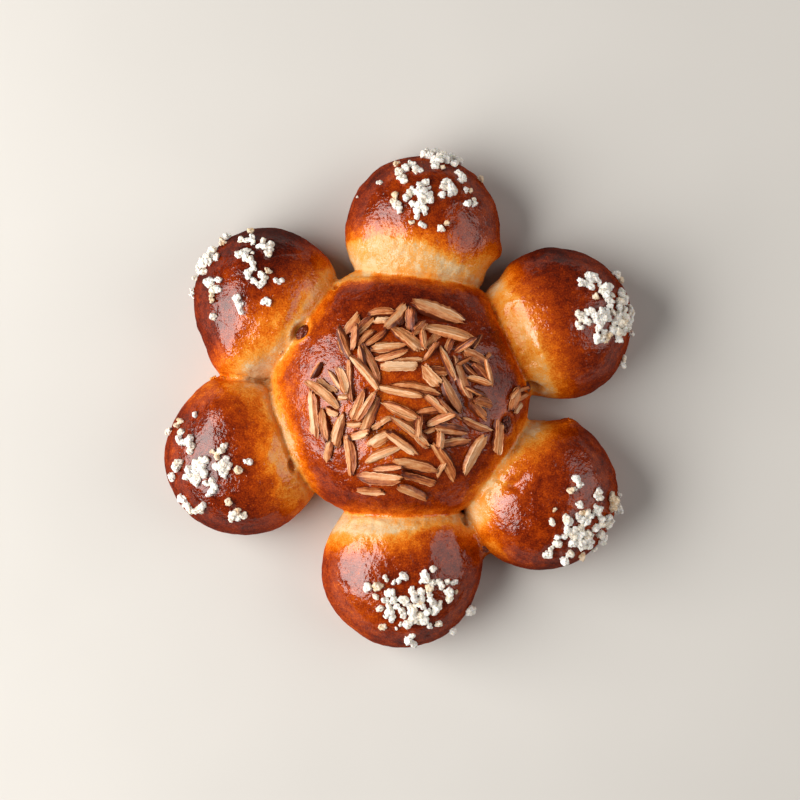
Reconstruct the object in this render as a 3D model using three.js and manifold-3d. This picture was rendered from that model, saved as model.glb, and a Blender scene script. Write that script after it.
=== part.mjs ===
// A king cake: one flower-shaped loaf of sweet dough, baked from a large centre ball with six
// smaller balls round it. Almond slivers lie on the centre, pearl sugar sits on the petals, and
// a few raisins show through the crust. Millimetres, +Z up. The origin is on the flat underside,
// on the axis of the centre ball.
import * as THREE from "three";
import { mergeVertices } from "three/addons/utils/BufferGeometryUtils.js";
import Module from "manifold-3d";

const wasm = await Module();
wasm.setup();

// ---------- driving dimensions ----------

const CLEARANCE = 0.3; // between pieces that rest on each other
const SAME_POINT = 1e-4; // corners nearer than this are one corner

// Every ball of dough is round in plan, widest at its belly and flat underneath.
const BALL_SHAPE = {
  baseShare: 0.84, // radius of the flat underside over the largest radius
  crownPower: 2.25, // 2 is an ellipse, more is a flatter crown
  crownRings: 8,
  skirtRings: 3,
};

const CENTRE = { x: -0.4, y: 1.1, radius: 65, height: 66, belly: 24, sides: 48 };

const PETAL_SIDES = 32;
const PETALS = {
  north: { x: 10.5, y: 81.5, radius: 39, height: 50, belly: 19 },
  north_west: { x: -67, y: 46.5, radius: 37.5, height: 49, belly: 19 },
  south_west: { x: -79, y: -30.5, radius: 39.5, height: 49, belly: 19 },
  south: { x: 0, y: -85.5, radius: 40, height: 50, belly: 19 },
  south_east: { x: 69.5, y: -48.5, radius: 38.5, height: 50, belly: 19 },
  north_east: { x: 77, y: 36, radius: 38.2, height: 51, belly: 19 },
};

// Smaller lumps of the same dough, where a petal swelled sideways or joined the next petal.
const BRIDGE_SIDES = 20;
const BRIDGES = [
  { x: -77.5, y: 26.5, radius: 19, height: 44, belly: 15 },
  { x: -83.5, y: -13, radius: 22, height: 46.5, belly: 15 },
  { x: 38.5, y: -69, radius: 12, height: 31, belly: 10 },
];

// Raisins: where each shows, its half length, width and depth, its heading, and how far its
// middle lies under the crust.
const RAISIN_SIDES = 12;
const RAISIN_RINGS = 8;
const RAISINS = {
  raisin_in_crown: { x: 51, y: -14, half: [5, 3.2, 3], heading: 95, under: 1.2 },
  raisin_in_seam: { x: -49.4, y: 31.3, half: [4.6, 3.4, 3], heading: 50, under: 1.4 },
  raisin_at_corner: { x: 42.5, y: -76, half: [4.2, 3.4, 3], heading: 20, under: 1.6 },
  raisin_at_notch: { x: 62, y: 4.5, half: [3.4, 2.6, 2.4], heading: -20, under: 1 },
};

// Almond slivers on the crust: from (x, y) to (x, y), the width, and how far the middle bows.
const SLIVER_THICKNESS = 2.4;
const SLIVER_CURVE_STEPS = 4;
const SLIVER_REACH = 2; // how far round its middle the crust's slope counts
const SLIVERS = [
  [-31, 33, -25, 19.5, 4, 0.8],
  [-22.5, 30.5, -15.5, 38.5, 3.5, -0.6],
  [-19, 24.5, -11.5, 7, 4, 0.8],
  [1, 45.5, -8, 32.5, 4, 0],
  [6, 45, 30, 36, 6, 1],
  [11.5, 32, 34, 28, 4.5, 1.6],
  [-3, 33.5, 8.5, 22.5, 4.5, 0],
  [-14, 23.2, 0.5, 23.8, 4.4, 0],
  [-9.5, 14.4, 6.8, 14.6, 3.8, 0],
  [16.7, 25.6, 10.9, 17.8, 2.6, 0],
  [26.5, 18.5, 33.5, -1, 4, -0.8],
  [30.5, 20.5, 42, 16, 4, 0.8],
  [20, 8, 29, -7.5, 4.5, -1],
  [32.6, -2.6, 42.1, -10.9, 3.7, 0],
  [29.7, -11.2, 43.3, -17.4, 2.8, -1.2],
  [39, -20, 31.5, -37.5, 4.5, 0],
  [46, -13, 48, -27.5, 3.5, 0],
  [58.5, 3.5, 52, -6, 3, 0],
  [-4, 5, 18, 0.5, 4.5, 0.8],
  [-8.5, -4, 7.5, -12, 5, 0.6],
  [-4.4, -10.7, 12.4, -24.3, 3.6, 0],
  [-15.5, -24, -5, -17.5, 4.5, 0],
  [16.7, -15.8, 31.3, -19.2, 4.2, 0.6],
  [15.5, -23, 26.5, -42, 4.5, 0.8],
  [-16.9, -32.2, -1.1, -24.8, 3.6, 0.6],
  [-21, -39.6, -1.5, -40.6, 4.4, -1],
  [-2.8, -31.5, 16, -37.2, 4, 0],
  [-0.8, -42.8, 11.4, -52.6, 3.8, 0],
  [-25.7, -20.8, -26.3, -38.2, 4.6, 0.5],
  [-12.5, -1.5, -19.5, -18, 4.5, 0],
  [-43.3, 1, -43.3, -19, 3.8, 0],
];

// A sliver's plan, as shares of its half length along it and of its half width across it.
const SLIVER_PLAN = {
  blunt: { low: -0.45, high: 0.5 }, // corners of the wide end
  tip: { low: -0.12, high: 0.2 }, // corners of the narrow end
  sides: { low: -1.45, high: 1.75, along: 0.1 }, // what the long curved sides are drawn towards
};

// Pearl sugar: each clump is one or more strings of grains, each string a row of (x, y) points.
const GRAIN_RADIUS = 2.9;
const GRAIN_SPACING = 3.6;
const GRAIN_LIFT = 0.3; // how far a grain's middle stands off the crust, over its radius
const RIM_SHARE = 0.97; // how near a petal's rim a grain can sit, over the petal's radius
const GRAIN_UNEVEN = { plan: 0.16, height: 0.1 }; // how much grains differ, over the radius
const GRAIN_TURN = 3; // the most a grain is turned, in radians
const SCATTER = { x: 12.9, y: 78.2 }; // turns a place into an angle that jumps from grain to grain
const CLUMPS = {
  north: [
    [[12, 118.5, 17, 118, 22, 116.5, 28.5, 115], [18, 117, 17.5, 112.5]],
    [[5, 113.5, -1, 110, 0.5, 107], [5, 113.5, 8, 110.5]],
    [[12, 105, 6, 102, 1.5, 97.5], [6, 102, 13, 99, 10, 94, 8, 90]],
    [[22, 104.5, 25, 102.5, 20, 99]],
    [[-3, 99, -4, 95.5, -1.5, 91.5]],
  ],
  north_west: [
    [[-94.5, 71, -91.5, 69, -98, 64.5, -100.5, 64], [-91.5, 69, -97, 59.5]],
    [[-81.5, 69.5, -78, 68, -75, 64.5, -74, 61, -76, 57]],
    [[-67, 61.5, -69.5, 57, -71.5, 54]],
    [[-70, 74.5, -70, 72.5, -66.5, 70]],
    [[-96, 56.5, -92, 57, -93.5, 52]],
  ],
  south_west: [
    [[-98.5, -33, -101, -37, -103, -43], [-101, -37, -105.5, -39]],
    [[-88.5, -32.5, -87, -36, -90, -39.5], [-87, -36, -92, -35.5]],
    [[-110.5, -23, -105.5, -22.5, -105, -28]],
    [[-107, -52.5, -104, -56, -99, -56]],
    [[-97, -44.5, -94.5, -47, -96, -49.5]],
  ],
  south: [
    [[4.5, -97, 1, -103, -5.5, -107, -5, -112], [1, -103, 6, -107, 10, -109, 12, -113, 4, -115],
      [6, -107, 10, -102.5, 16, -105, 18, -107]],
    [[22.5, -99, 23, -102]],
  ],
  south_east: [
    [[99.5, -61, 96, -66.5, 91.5, -70, 85.5, -73.5], [96, -66.5, 101, -67]],
    [[89, -58.5, 91, -62.5, 88, -65]],
    [[97, -50, 97, -52, 96, -55]],
  ],
  north_east: [
    [[89.5, 55, 93, 57, 98.5, 54]],
    [[103.5, 50.5, 104, 47]],
    [[93, 40.5, 98, 41, 102, 40, 98.5, 34]],
    [[108.5, 47, 106.5, 42.5, 111, 38.5, 107, 34.5, 110.5, 31.5]],
  ],
};

// ---------- materials ----------

const finish = (color, roughness) =>
  new THREE.MeshStandardMaterial({ color, roughness, metalness: 0 });
const CRUST = finish(0x9a4516, 0.32);
const ALMOND = finish(0xd8a874, 0.5);
const SUGAR = finish(0xf2ede4, 0.6);
const RAISIN = finish(0x3a1510, 0.35);

// ---------- joining and cutting ----------

// A closed geometry as a solid that can be joined and cut.
function solidFrom(geometry) {
  const bare = new THREE.BufferGeometry();
  bare.setAttribute("position", geometry.getAttribute("position"));
  bare.setIndex(geometry.index);
  const merged = mergeVertices(bare, SAME_POINT);
  const corners = merged.index.array;
  const whole = [];
  for (let i = 0; i < corners.length; i += 3) {
    const [a, b, c] = [corners[i], corners[i + 1], corners[i + 2]];
    if (a !== b && b !== c && c !== a) whole.push(a, b, c);
  }
  return new wasm.Manifold(
    new wasm.Mesh({
      numProp: 3,
      vertProperties: merged.attributes.position.array,
      triVerts: new Uint32Array(whole),
    }),
  );
}

function geometryFrom(solid) {
  const mesh = solid.getMesh();
  const geometry = new THREE.BufferGeometry();
  geometry.setAttribute("position", new THREE.BufferAttribute(mesh.vertProperties, 3));
  geometry.setIndex(new THREE.BufferAttribute(mesh.triVerts, 1));
  geometry.computeVertexNormals();
  return geometry;
}

const joined = (solids) => solids.reduce((all, next) => all.add(next));

// ---------- dough ----------

// Height of the crown at a share of the radius.
function crownHeight(ball, share) {
  const fall = Math.sqrt(1 - share ** BALL_SHAPE.crownPower);
  return ball.belly + (ball.height - ball.belly) * fall;
}

// The outline that is turned to make a ball: underside, skirt up to the belly, then crown.
function ballOutline(ball) {
  const { baseShare, crownRings, skirtRings } = BALL_SHAPE;
  const outline = [new THREE.Vector2(0, 0)];
  for (let i = skirtRings; i >= 0; i--) {
    const turn = ((i / skirtRings) * Math.PI) / 2;
    const share = baseShare + (1 - baseShare) * Math.cos(turn);
    outline.push(new THREE.Vector2(share * ball.radius, ball.belly * (1 - Math.sin(turn))));
  }
  for (let i = 1; i <= crownRings; i++) {
    const share = Math.cos(((i / crownRings) * Math.PI) / 2);
    const height = i === crownRings ? ball.height : crownHeight(ball, share);
    outline.push(new THREE.Vector2(i === crownRings ? 0 : share * ball.radius, height));
  }
  return outline;
}

function ballSolid(ball, sides, grow = 0) {
  const grown = { ...ball, radius: ball.radius + grow, height: ball.height + grow };
  const turned = new THREE.LatheGeometry(ballOutline(grown), sides);
  turned.rotateX(Math.PI / 2);
  turned.translate(ball.x, ball.y, 0);
  return solidFrom(turned);
}

const loaf = (grow = 0) =>
  joined([
    ballSolid(CENTRE, CENTRE.sides, grow),
    ...Object.values(PETALS).map((petal) => ballSolid(petal, PETAL_SIDES, grow)),
    ...BRIDGES.map((bridge) => ballSolid(bridge, BRIDGE_SIDES, grow)),
  ]);

// ---------- places on the crust ----------

const crustProbe = new THREE.Mesh(geometryFrom(loaf()), CRUST);
const ABOVE_ALL = 2 * CENTRE.height;

// The point of the crust straight under (x, y), and the crust's outward direction there.
function crustAt(x, y) {
  const ray = new THREE.Raycaster(new THREE.Vector3(x, y, ABOVE_ALL), new THREE.Vector3(0, 0, -1));
  const [hit] = ray.intersectObject(crustProbe);
  if (!hit) throw new Error(`no crust under ${x}, ${y}`);
  return { point: hit.point, outward: hit.face.normal.clone() };
}

// The crust's direction, evened out over a few points so that one facet doesn't decide it.
function evenOutward(x, y, reach) {
  const around = [[0, 0], [reach, 0], [-reach, 0], [0, reach], [0, -reach]];
  const sum = new THREE.Vector3();
  for (const [dx, dy] of around) sum.add(crustAt(x + dx, y + dy).outward);
  return sum.normalize();
}

// ---------- raisins ----------

function raisinSolid({ x, y, half, heading, under }, grow = 0) {
  const { point, outward } = crustAt(x, y);
  const place = new THREE.Matrix4().makeBasis(...basisOn(outward, THREE.MathUtils.degToRad(heading)));
  place.setPosition(point.addScaledVector(outward, -under));
  const ball = new THREE.SphereGeometry(1, RAISIN_SIDES, RAISIN_RINGS);
  ball.scale(half[0] + grow, half[1] + grow, half[2] + grow);
  return solidFrom(ball.applyMatrix4(place));
}

// Three directions for a piece lying on the crust: along its heading, across, and outward.
function basisOn(outward, heading) {
  const level = new THREE.Vector3(Math.cos(heading), Math.sin(heading), 0);
  const across = new THREE.Vector3().crossVectors(outward, level).normalize();
  const along = new THREE.Vector3().crossVectors(across, outward);
  return [along, across, outward];
}

// ---------- almond slivers ----------

// A sliver's plan: blunt at one end, pointed at the other, one side straighter than the other.
function sliverOutline(length, width, bow) {
  const [end, half] = [length / 2, width / 2];
  const { blunt, tip, sides } = SLIVER_PLAN;
  const [low, high] = [sides.low * half + 2 * bow, sides.high * half + 2 * bow];
  const outline = new THREE.Shape();
  outline.moveTo(-end, blunt.low * half);
  outline.quadraticCurveTo(-sides.along * end, low, end, tip.low * half);
  outline.lineTo(end, tip.high * half);
  outline.quadraticCurveTo(sides.along * end, high, -end, blunt.high * half);
  outline.closePath();
  return outline;
}

function sliverMesh([x1, y1, x2, y2, width, bow], index) {
  const [x, y] = [(x1 + x2) / 2, (y1 + y2) / 2];
  const { point } = crustAt(x, y);
  const outward = evenOutward(x, y, SLIVER_REACH);
  const heading = Math.atan2(y2 - y1, x2 - x1);
  const [along, across] = basisOn(outward, heading);
  const slope = Math.hypot(along.x, along.y);
  const length = Math.hypot(x2 - x1, y2 - y1) / slope;
  const bar = new THREE.ExtrudeGeometry(sliverOutline(length, width, bow), {
    depth: SLIVER_THICKNESS,
    bevelEnabled: false,
    curveSegments: SLIVER_CURVE_STEPS,
  });
  const mesh = new THREE.Mesh(bar, ALMOND);
  mesh.name = `almond_sliver_${String(index + 1).padStart(2, "0")}`;
  mesh.applyMatrix4(new THREE.Matrix4().makeBasis(along, across, outward));
  mesh.position.copy(point).addScaledVector(outward, CLEARANCE);
  return mesh;
}

// ---------- pearl sugar ----------

// A place pulled in from beyond a petal's rim to just inside it.
function insideRim(petal, place) {
  const middle = new THREE.Vector2(petal.x, petal.y);
  return place.clone().sub(middle).clampLength(0, RIM_SHARE * petal.radius).add(middle);
}

// Places along a string of grains, a spacing apart over the crust.
function stringPlaces(petal, row) {
  const corners = [];
  for (let i = 0; i < row.length; i += 2) {
    corners.push(insideRim(petal, new THREE.Vector2(row[i], row[i + 1])));
  }
  const places = [corners[0]];
  for (let i = 1; i < corners.length; i++) {
    const [from, to] = [corners[i - 1], corners[i]];
    const apart = crustAt(from.x, from.y).point.distanceTo(crustAt(to.x, to.y).point);
    const steps = Math.ceil(apart / GRAIN_SPACING);
    for (let k = 1; k <= steps; k++) places.push(from.clone().lerp(to, k / steps));
  }
  return places;
}

// An uneven grain, turned and sized differently at each place.
function grainSolid({ x, y }) {
  const { point, outward } = crustAt(x, y);
  const { plan, height } = GRAIN_UNEVEN;
  const vary = (step) => Math.sin(SCATTER.x * x + SCATTER.y * y + step);
  const grain = new THREE.OctahedronGeometry(GRAIN_RADIUS, 0);
  grain.scale(1 + plan * vary(1), 1 + plan * vary(2), 1 + height * vary(3));
  grain.rotateX(GRAIN_TURN * vary(4)).rotateZ(GRAIN_TURN * vary(5));
  const middle = point.addScaledVector(outward, GRAIN_LIFT * GRAIN_RADIUS);
  return solidFrom(grain.translate(middle.x, middle.y, middle.z));
}

function clumpMesh(name, petal, strings, crustAndGap) {
  const places = strings.flatMap((row) => stringPlaces(petal, row));
  const grains = joined(places.map(grainSolid));
  const bodies = grains.subtract(crustAndGap).decompose();
  bodies.sort((one, other) => other.volume() - one.volume());
  const mesh = new THREE.Mesh(geometryFrom(bodies[0]), SUGAR);
  mesh.name = name;
  return mesh;
}

// ---------- the cake ----------

const cake = new THREE.Group();

const pockets = Object.values(RAISINS).map((raisin) => raisinSolid(raisin, CLEARANCE));
const bread = new THREE.Mesh(geometryFrom(loaf().subtract(joined(pockets))), CRUST);
bread.name = "bread";
cake.add(bread);

for (const [name, raisin] of Object.entries(RAISINS)) {
  const mesh = new THREE.Mesh(geometryFrom(raisinSolid(raisin)), RAISIN);
  mesh.name = name;
  cake.add(mesh);
}

cake.add(...SLIVERS.map(sliverMesh));

const crustAndGap = loaf(CLEARANCE);
for (const [side, clumps] of Object.entries(CLUMPS)) {
  clumps.forEach((strings, i) => {
    cake.add(clumpMesh(`sugar_${side}_${i + 1}`, PETALS[side], strings, crustAndGap));
  });
}

export default cake;
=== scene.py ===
"""A king cake: a flower-shaped loaf of glazed sweet dough, with almond slivers on its centre ball,
pearl sugar on its petals and raisins in its crust. Everything is made in metres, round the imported
frame. Lists of places on the cake are in millimetres, from the origin of the frame, which lies
under the middle of the centre ball."""

import math
import random

import bpy
import numpy as np
from mathutils import Matrix, Vector, noise
from mathutils.bvhtree import BVHTree


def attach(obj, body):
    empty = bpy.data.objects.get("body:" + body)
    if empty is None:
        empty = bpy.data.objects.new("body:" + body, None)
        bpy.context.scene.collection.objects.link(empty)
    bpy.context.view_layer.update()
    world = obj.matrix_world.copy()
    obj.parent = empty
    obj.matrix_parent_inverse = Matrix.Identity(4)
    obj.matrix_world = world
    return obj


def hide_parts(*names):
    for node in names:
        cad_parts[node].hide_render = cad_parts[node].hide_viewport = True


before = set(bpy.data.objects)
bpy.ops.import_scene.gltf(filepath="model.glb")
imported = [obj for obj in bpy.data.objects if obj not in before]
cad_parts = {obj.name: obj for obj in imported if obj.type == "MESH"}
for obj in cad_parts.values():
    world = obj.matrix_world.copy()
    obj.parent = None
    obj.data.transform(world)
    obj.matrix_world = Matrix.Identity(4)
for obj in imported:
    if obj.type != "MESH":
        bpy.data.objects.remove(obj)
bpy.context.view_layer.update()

MM = 0.001

# The camera looks straight down, and the view is this wide at the view level. The toppings' lists
# give places as they look from the camera, at that level.
VIEW_MIDDLE = (-1 * MM, -2 * MM)
VIEW_WIDTH = 400 * MM
VIEW_LEVEL = 22 * MM
CAMERA_HEIGHT = 1.2
CAMERA_SENSOR = 36

# ---------- the dough balls, in millimetres, as in the frame ----------

CENTRE = {"x": -0.4, "y": 1.1, "radius": 65, "height": 66, "belly": 24}
PETALS = {
    "north": {"x": 10.5, "y": 81.5, "radius": 39, "height": 50, "belly": 19},
    "north_west": {"x": -67, "y": 46.5, "radius": 37.5, "height": 49, "belly": 19},
    "south_west": {"x": -79, "y": -30.5, "radius": 39.5, "height": 49, "belly": 19},
    "south": {"x": 0, "y": -85.5, "radius": 40, "height": 48, "belly": 19},
    "south_east": {"x": 69.5, "y": -48.5, "radius": 38.5, "height": 50, "belly": 19},
    "north_east": {"x": 77, "y": 36, "radius": 38.2, "height": 51, "belly": 19},
}
# Lumps of the same dough where a petal swelled sideways.
LOBES = [
    {"petal": "north_west", "x": -78.5, "y": 24.5, "radius": 18.5, "height": 44, "belly": 15},
    {"petal": "south_west", "x": -85.5, "y": -12.5, "radius": 22.5, "height": 46.5, "belly": 15},
    {"petal": "south", "x": 38.5, "y": -69, "radius": 12, "height": 28, "belly": 10},
    {"petal": "south_east", "x": 83, "y": -15.8, "radius": 5, "height": 27, "belly": 10},
    {"petal": "north", "x": 46.2, "y": 72.4, "radius": 4, "height": 26, "belly": 10},
]
# Places where the outline is drawn in (+) or stands out (-): x, y, reach, amount.
NOTCHES = [(46, 61.5, 6, 3), (70, -9, 10, 2.4), (-98, 24, 8, -0.4)]
BALLS = [CENTRE, *PETALS.values(), *LOBES]
# The share of a ball's radius that its flat base takes up, and how full its crown is.
BASE_SHARE = 0.84
CROWN_POWER = 2.25
# How wide the dough is rounded over where balls meet, and where lobes join their petals.
SEAM_ROUNDING = 1.5
LOBE_ROUNDING = 5
# The size of the loaf's faces.
LOAF_GRID = 1.22 * MM

# Where the centre's crust hangs a little way over the south petal.
LID_REACH = {"x": 0, "y": -60, "out": 1, "along": 36, "across": 8}

# How far the unbrowned dough reaches out from each petal's seam with the centre ball: its width at
# the middle, how much it narrows to the sides and leans to one side, how brown the seam's dough
# is, how far the browning then takes to reach full strength, and how brown that is.
SEAM_OF_PETALS = 57.5
BANDS = {
    "north": {"width": 14, "narrows": 0.0075, "leans": 0.17, "dough": 0.09, "over": 17, "full": 0.78},
    "north_west": {"width": 6, "narrows": 0, "leans": 0, "dough": 0.26, "over": 34, "full": 0.93},
    "south_west": {"width": 4.5, "narrows": 0, "leans": 0, "dough": 0.28, "over": 36, "full": 0.87},
    "south": {"width": 9, "narrows": 0.002, "leans": -0.1, "dough": 0.02, "over": 19, "full": 0.79},
    "south_east": {"width": 3, "narrows": 0, "leans": 0.1, "dough": 0.16, "over": 22, "full": 0.79},
    "north_east": {"width": 13, "narrows": 0.004, "leans": 0, "dough": 0.25, "over": 22, "full": 0.82},
}

# Places that browned more (+) or less (-) than the dough round them, partly painted shade on the balls'
# north rims and painted light in shaded hollows: x, y, reach, amount.
BROWNING_AND_PAINTED_SHADE = [
    (5, 50, 15, 0.2), (30, 43, 14, 0.1), (-22, 45, 14, 0.1), (2, 8, 22, -0.13), (-12, -24, 15, -0.14),
    (30, -30, 16, 0.06), (0, -51, 16, 0.04), (50, 5, 14, 0.08), (-60, 2, 9, -0.18),
    (-58, -20, 7, -0.08), (-42, -6, 15, -0.1), (0, 104, 8, -0.06), (42, 64, 8, -0.1),
    (-27, 76, 8, 0.1), (-13, 106, 9, 0.1), (-26, 94, 8, 0.06), (-62, 74, 20, 0.12),
    (-48, 48, 7, -0.08), (-62, 39, 6, -0.14), (-61, 23, 7, -0.18), (-88, 18, 9, -0.22),
    (-33, 62, 7, -0.08), (-72, 13, 8, -0.3), (-64, -8, 7, -0.1), (-78, 42, 10, -0.16),
    (-84, 60, 9, -0.16), (-74, 28, 9, -0.14), (-98, 42, 8, -0.06), (-63, -33, 5, -0.22),
    (-57, -38, 4, -0.16), (-68, -26, 4, -0.12), (-84, 5, 6, -0.2), (-74, 4, 6, -0.2),
    (-80, -14, 8, 0.06), (-61, -22, 5, -0.08), (-55, -49, 9, -0.12), (-113, -28, 7, -0.1),
    (-27, -68, 9, -0.04), (20, -68, 9, 0.26), (10, -66, 6, 0.1), (34, -67, 6, -0.06),
    (66, -18, 7, -0.2), (38, -59, 8, -0.45), (-30, 57, 3, -0.3), (-25, 58.5, 3.5, -0.36),
    (-18, 60, 4, -0.35), (-9, 61, 3, -0.25), (-104, 3, 10, -0.3), (-60, -28, 7, -0.08),
    (44, 68, 9, -0.36), (-94, 8, 6, -0.12), (2, 9, 9, 0.15), (10, -67, 5, 0.06), (-68, -22, 8, 0.05),
    (-76, 14, 7, -0.14), (61, 28, 7, -0.18), (55, 36, 6, -0.12), (66, 16, 8, -0.1), (-56, 0, 5, 0.05),
    (44, -45, 5, -0.24), (45, -75, 8, -0.3), (44, 55, 6, -0.16), (62, 26, 9, 0.14), (60, 12, 8, 0.08),
    (73, 4, 7, -0.12), (-100, 62, 10, 0.04), (-24, -106, 16, -0.1), (0, -118, 14, 0.06),
    (-30, -46, 10, 0.1), (50, 30, 9, 0.2), (42, 10, 14, 0.04), (75, 72, 14, 0.14),
    (-18, 60, 6, -0.14), (2, 60, 7, -0.08), (20, 57, 6, -0.1), (75, -84, 12, 0.1),
]

# Places where the brush left more glaze (+) or less (-) than elsewhere: x, y, reach, amount.
GLAZE = [
    (-54, -6, 12, -0.5), (-92, 60, 13, -0.4), (-35, -54, 10, -0.7), (66, -63, 9, -0.6),
    (-16, 106, 11, -0.35), (50, 10, 13, -0.7), (50, 30, 9, -0.6), (-108, 2, 10, -0.6),
    (55, 38, 7, -0.8), (58, 24, 7, -0.8), (47, -54, 9, 0.55), (52, -40, 6, 0.5), (-18, -84, 14, 0.35),
    (62, 50, 7, 0.9), (68, 30, 7, 1.2), (-98, -20, 12, 0.15), (-76, 38, 9, 0.25), (30, -86, 9, -0.15),
    (24, 84, 6, -0.4), (-26, 92, 7, -0.3),
]

# How brown the centre ball is at its seams, how much browner inwards of them and on its crown,
# and the shade that every ball's side tends to near the table.
CENTRE_SEAM_BROWN = 0.34
CENTRE_INNER_BROWN = 0.36
CENTRE_CROWN_BROWN = 0.03
LOW_SIDE_BROWN = 0.3


def ball_distance(ball, points):
    """Roughly how far points (millimetres) lie outside a ball of dough."""
    across = np.hypot(points[:, 0] - ball["x"], points[:, 1] - ball["y"])
    rise = points[:, 2] - ball["belly"]
    share = across / ball["radius"]
    up = np.maximum(rise, 0) / (ball["height"] - ball["belly"])
    crown = np.sqrt(share**CROWN_POWER + up**2) + 1e-9
    crown_slope = np.hypot(
        0.5 * CROWN_POWER * (share + 1e-6) ** (CROWN_POWER - 1) / ball["radius"],
        up / (ball["height"] - ball["belly"]),
    ) / crown
    inner = BASE_SHARE * ball["radius"]
    skirt_width = ball["radius"] - inner
    out = np.maximum(across - inner, 0) / skirt_width
    down = np.maximum(-rise, 0) / ball["belly"]
    skirt = np.hypot(out, down) + 1e-9
    skirt_slope = np.hypot(out / skirt_width, down / ball["belly"]) / skirt
    above = (crown - 1) / (crown_slope + 1e-4)
    below = np.where(across < inner, -points[:, 2], (skirt - 1) / (skirt_slope + 1e-4))
    below = np.where(down <= 0, above, below)
    return np.where(rise > 0, above, below)


def noise_over(points, size, seed, octaves):
    """Smooth noise from -1 to 1 at points in millimetres, its largest lumps about size across."""
    shift = Vector((seed * 17.3, seed * -9.1, seed * 5.7))
    return np.array([
        noise.fractal(Vector(p) / size + shift, 1.0, 2.0, octaves) for p in points
    ])


def rounded_least(one, other, rounding):
    """The lesser of two distances, with the corner where they meet rounded over."""
    mix = np.maximum(rounding - np.abs(one - other), 0) / rounding
    return np.minimum(one, other) - mix**2 * rounding / 4


def petal_distance(name, points):
    """How far points lie outside a petal and the lobes it swelled into."""
    whole = ball_distance(PETALS[name], points)
    for lobe in LOBES:
        if lobe["petal"] == name:
            whole = rounded_least(whole, ball_distance(lobe, points), LOBE_ROUNDING)
    return whole


def dough_distance(points):
    """How far points lie outside the risen dough, whose balls are rounded into one another."""
    whole = ball_distance(CENTRE, points)
    for name in PETALS:
        whole = rounded_least(whole, petal_distance(name, points), SEAM_ROUNDING)
    return whole + spots_over(points, NOTCHES)


def smoothstep(low, high, value):
    """0 below low, 1 above high and an even curve between them."""
    share = np.clip((value - low) / (high - low), 0, 1)
    return share * share * (3 - 2 * share)


def soft_ridge(distance, reach):
    """1 where a distance is 0, fading out round it."""
    return np.exp(-((distance / reach) ** 2))


def spots_over(points, spots):
    """The sum of round spots that fade out round their middles: x, y, reach, amount."""
    total = np.zeros(len(points))
    for x, y, reach, amount in spots:
        total += amount * soft_ridge(np.hypot(points[:, 0] - x, points[:, 1] - y), reach)
    return total


# ---------- working with meshes ----------


def start_piece():
    """Deselects everything, so that the next operator acts on new work only."""
    if bpy.context.object and bpy.context.object.mode != "OBJECT":
        bpy.ops.object.mode_set(mode="OBJECT")
    bpy.ops.object.select_all(action="DESELECT")


def name_active(name):
    piece = bpy.context.object
    piece.name = name
    piece.data.name = name
    return piece


def vertex_values(piece, key):
    values = np.empty(len(piece.data.vertices) * 3, np.float32)
    piece.data.vertices.foreach_get(key, values)
    return values.reshape(-1, 3).astype(float)


def points_of(piece):
    return vertex_values(piece, "co")


def normals_of(piece):
    return vertex_values(piece, "normal")


def move_points(piece, points):
    piece.data.vertices.foreach_set("co", points.astype(np.float32).ravel())
    piece.data.update()


def paint(piece, name, values):
    """Keeps a value for every point of a piece, for its material to read."""
    attribute = piece.data.attributes.new(name, "FLOAT", "POINT")
    attribute.data.foreach_set("value", np.asarray(values, np.float32))


def smooth_faces(piece):
    piece.data.polygons.foreach_set("use_smooth", [True] * len(piece.data.polygons))


def join_under_skin(pieces, name, grid):
    """Joins pieces that touch into one, with a single closed skin over all of them."""
    start_piece()
    for piece in pieces:
        piece.select_set(True)
    bpy.context.view_layer.objects.active = pieces[0]
    bpy.ops.object.join()
    joined = name_active(name)
    remesh = joined.modifiers.new("skin", "REMESH")
    remesh.mode = "VOXEL"
    remesh.voxel_size = grid
    bpy.ops.object.modifier_apply(modifier=remesh.name)
    return joined


def neighbour_average(piece, points):
    """The average place of each point's neighbours."""
    edges = np.empty(len(piece.data.edges) * 2, np.int32)
    piece.data.edges.foreach_get("vertices", edges)
    total = np.zeros_like(points)
    count = np.zeros(len(points))
    ends = edges.reshape(-1, 2).T
    for one, other in (ends, ends[::-1]):
        np.add.at(total, one, points[other])
        np.add.at(count, one, 1)
    return total / np.maximum(count, 1)[:, None]


def value_of_nearest(points, middles, values):
    """For each point, the value that belongs to the nearest of some middles."""
    gaps = ((points[:, None, :] - np.array(middles)[None]) ** 2).sum(2)
    return np.array(values)[np.argmin(gaps, 1)]


# ---------- the loaf ----------

SPIN_STEPS = 72
SKIRT_POINTS = 6
CROWN_POINTS = 16
# How the mesh settles onto the dough: the times it moves there, how many of them it is evened
# out after, how far it then goes towards its neighbours' average, the longest move, and how far
# apart two points are compared to find a slope, all lengths in millimetres.
SETTLING_TURNS = 5
EVENING_TURNS = 3
EVENING_SHARE = 0.4
LONGEST_MOVE = 2
SLOPE_STEP = 0.2
# The dough's uneven lumps: their height, how far across they are, and their seed.
LUMPS = [(0.9, 26, 1), (0.42, 8, 2)]


def ball_profile(ball):
    """Radius and height along a ball's side, from the middle of its underside to its top."""
    rise = ball["height"] - ball["belly"]
    profile = [(0, 0)]
    for turn in np.linspace(math.pi / 2, 0, SKIRT_POINTS):
        share = BASE_SHARE + (1 - BASE_SHARE) * math.cos(turn)
        profile.append((share * ball["radius"], ball["belly"] * (1 - math.sin(turn))))
    for turn in np.linspace(0, math.pi / 2, CROWN_POINTS)[1:]:
        share = math.cos(turn)
        fall = math.sqrt(max(0, 1 - share**CROWN_POWER))
        profile.append((share * ball["radius"], ball["belly"] + rise * fall))
    return profile


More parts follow.
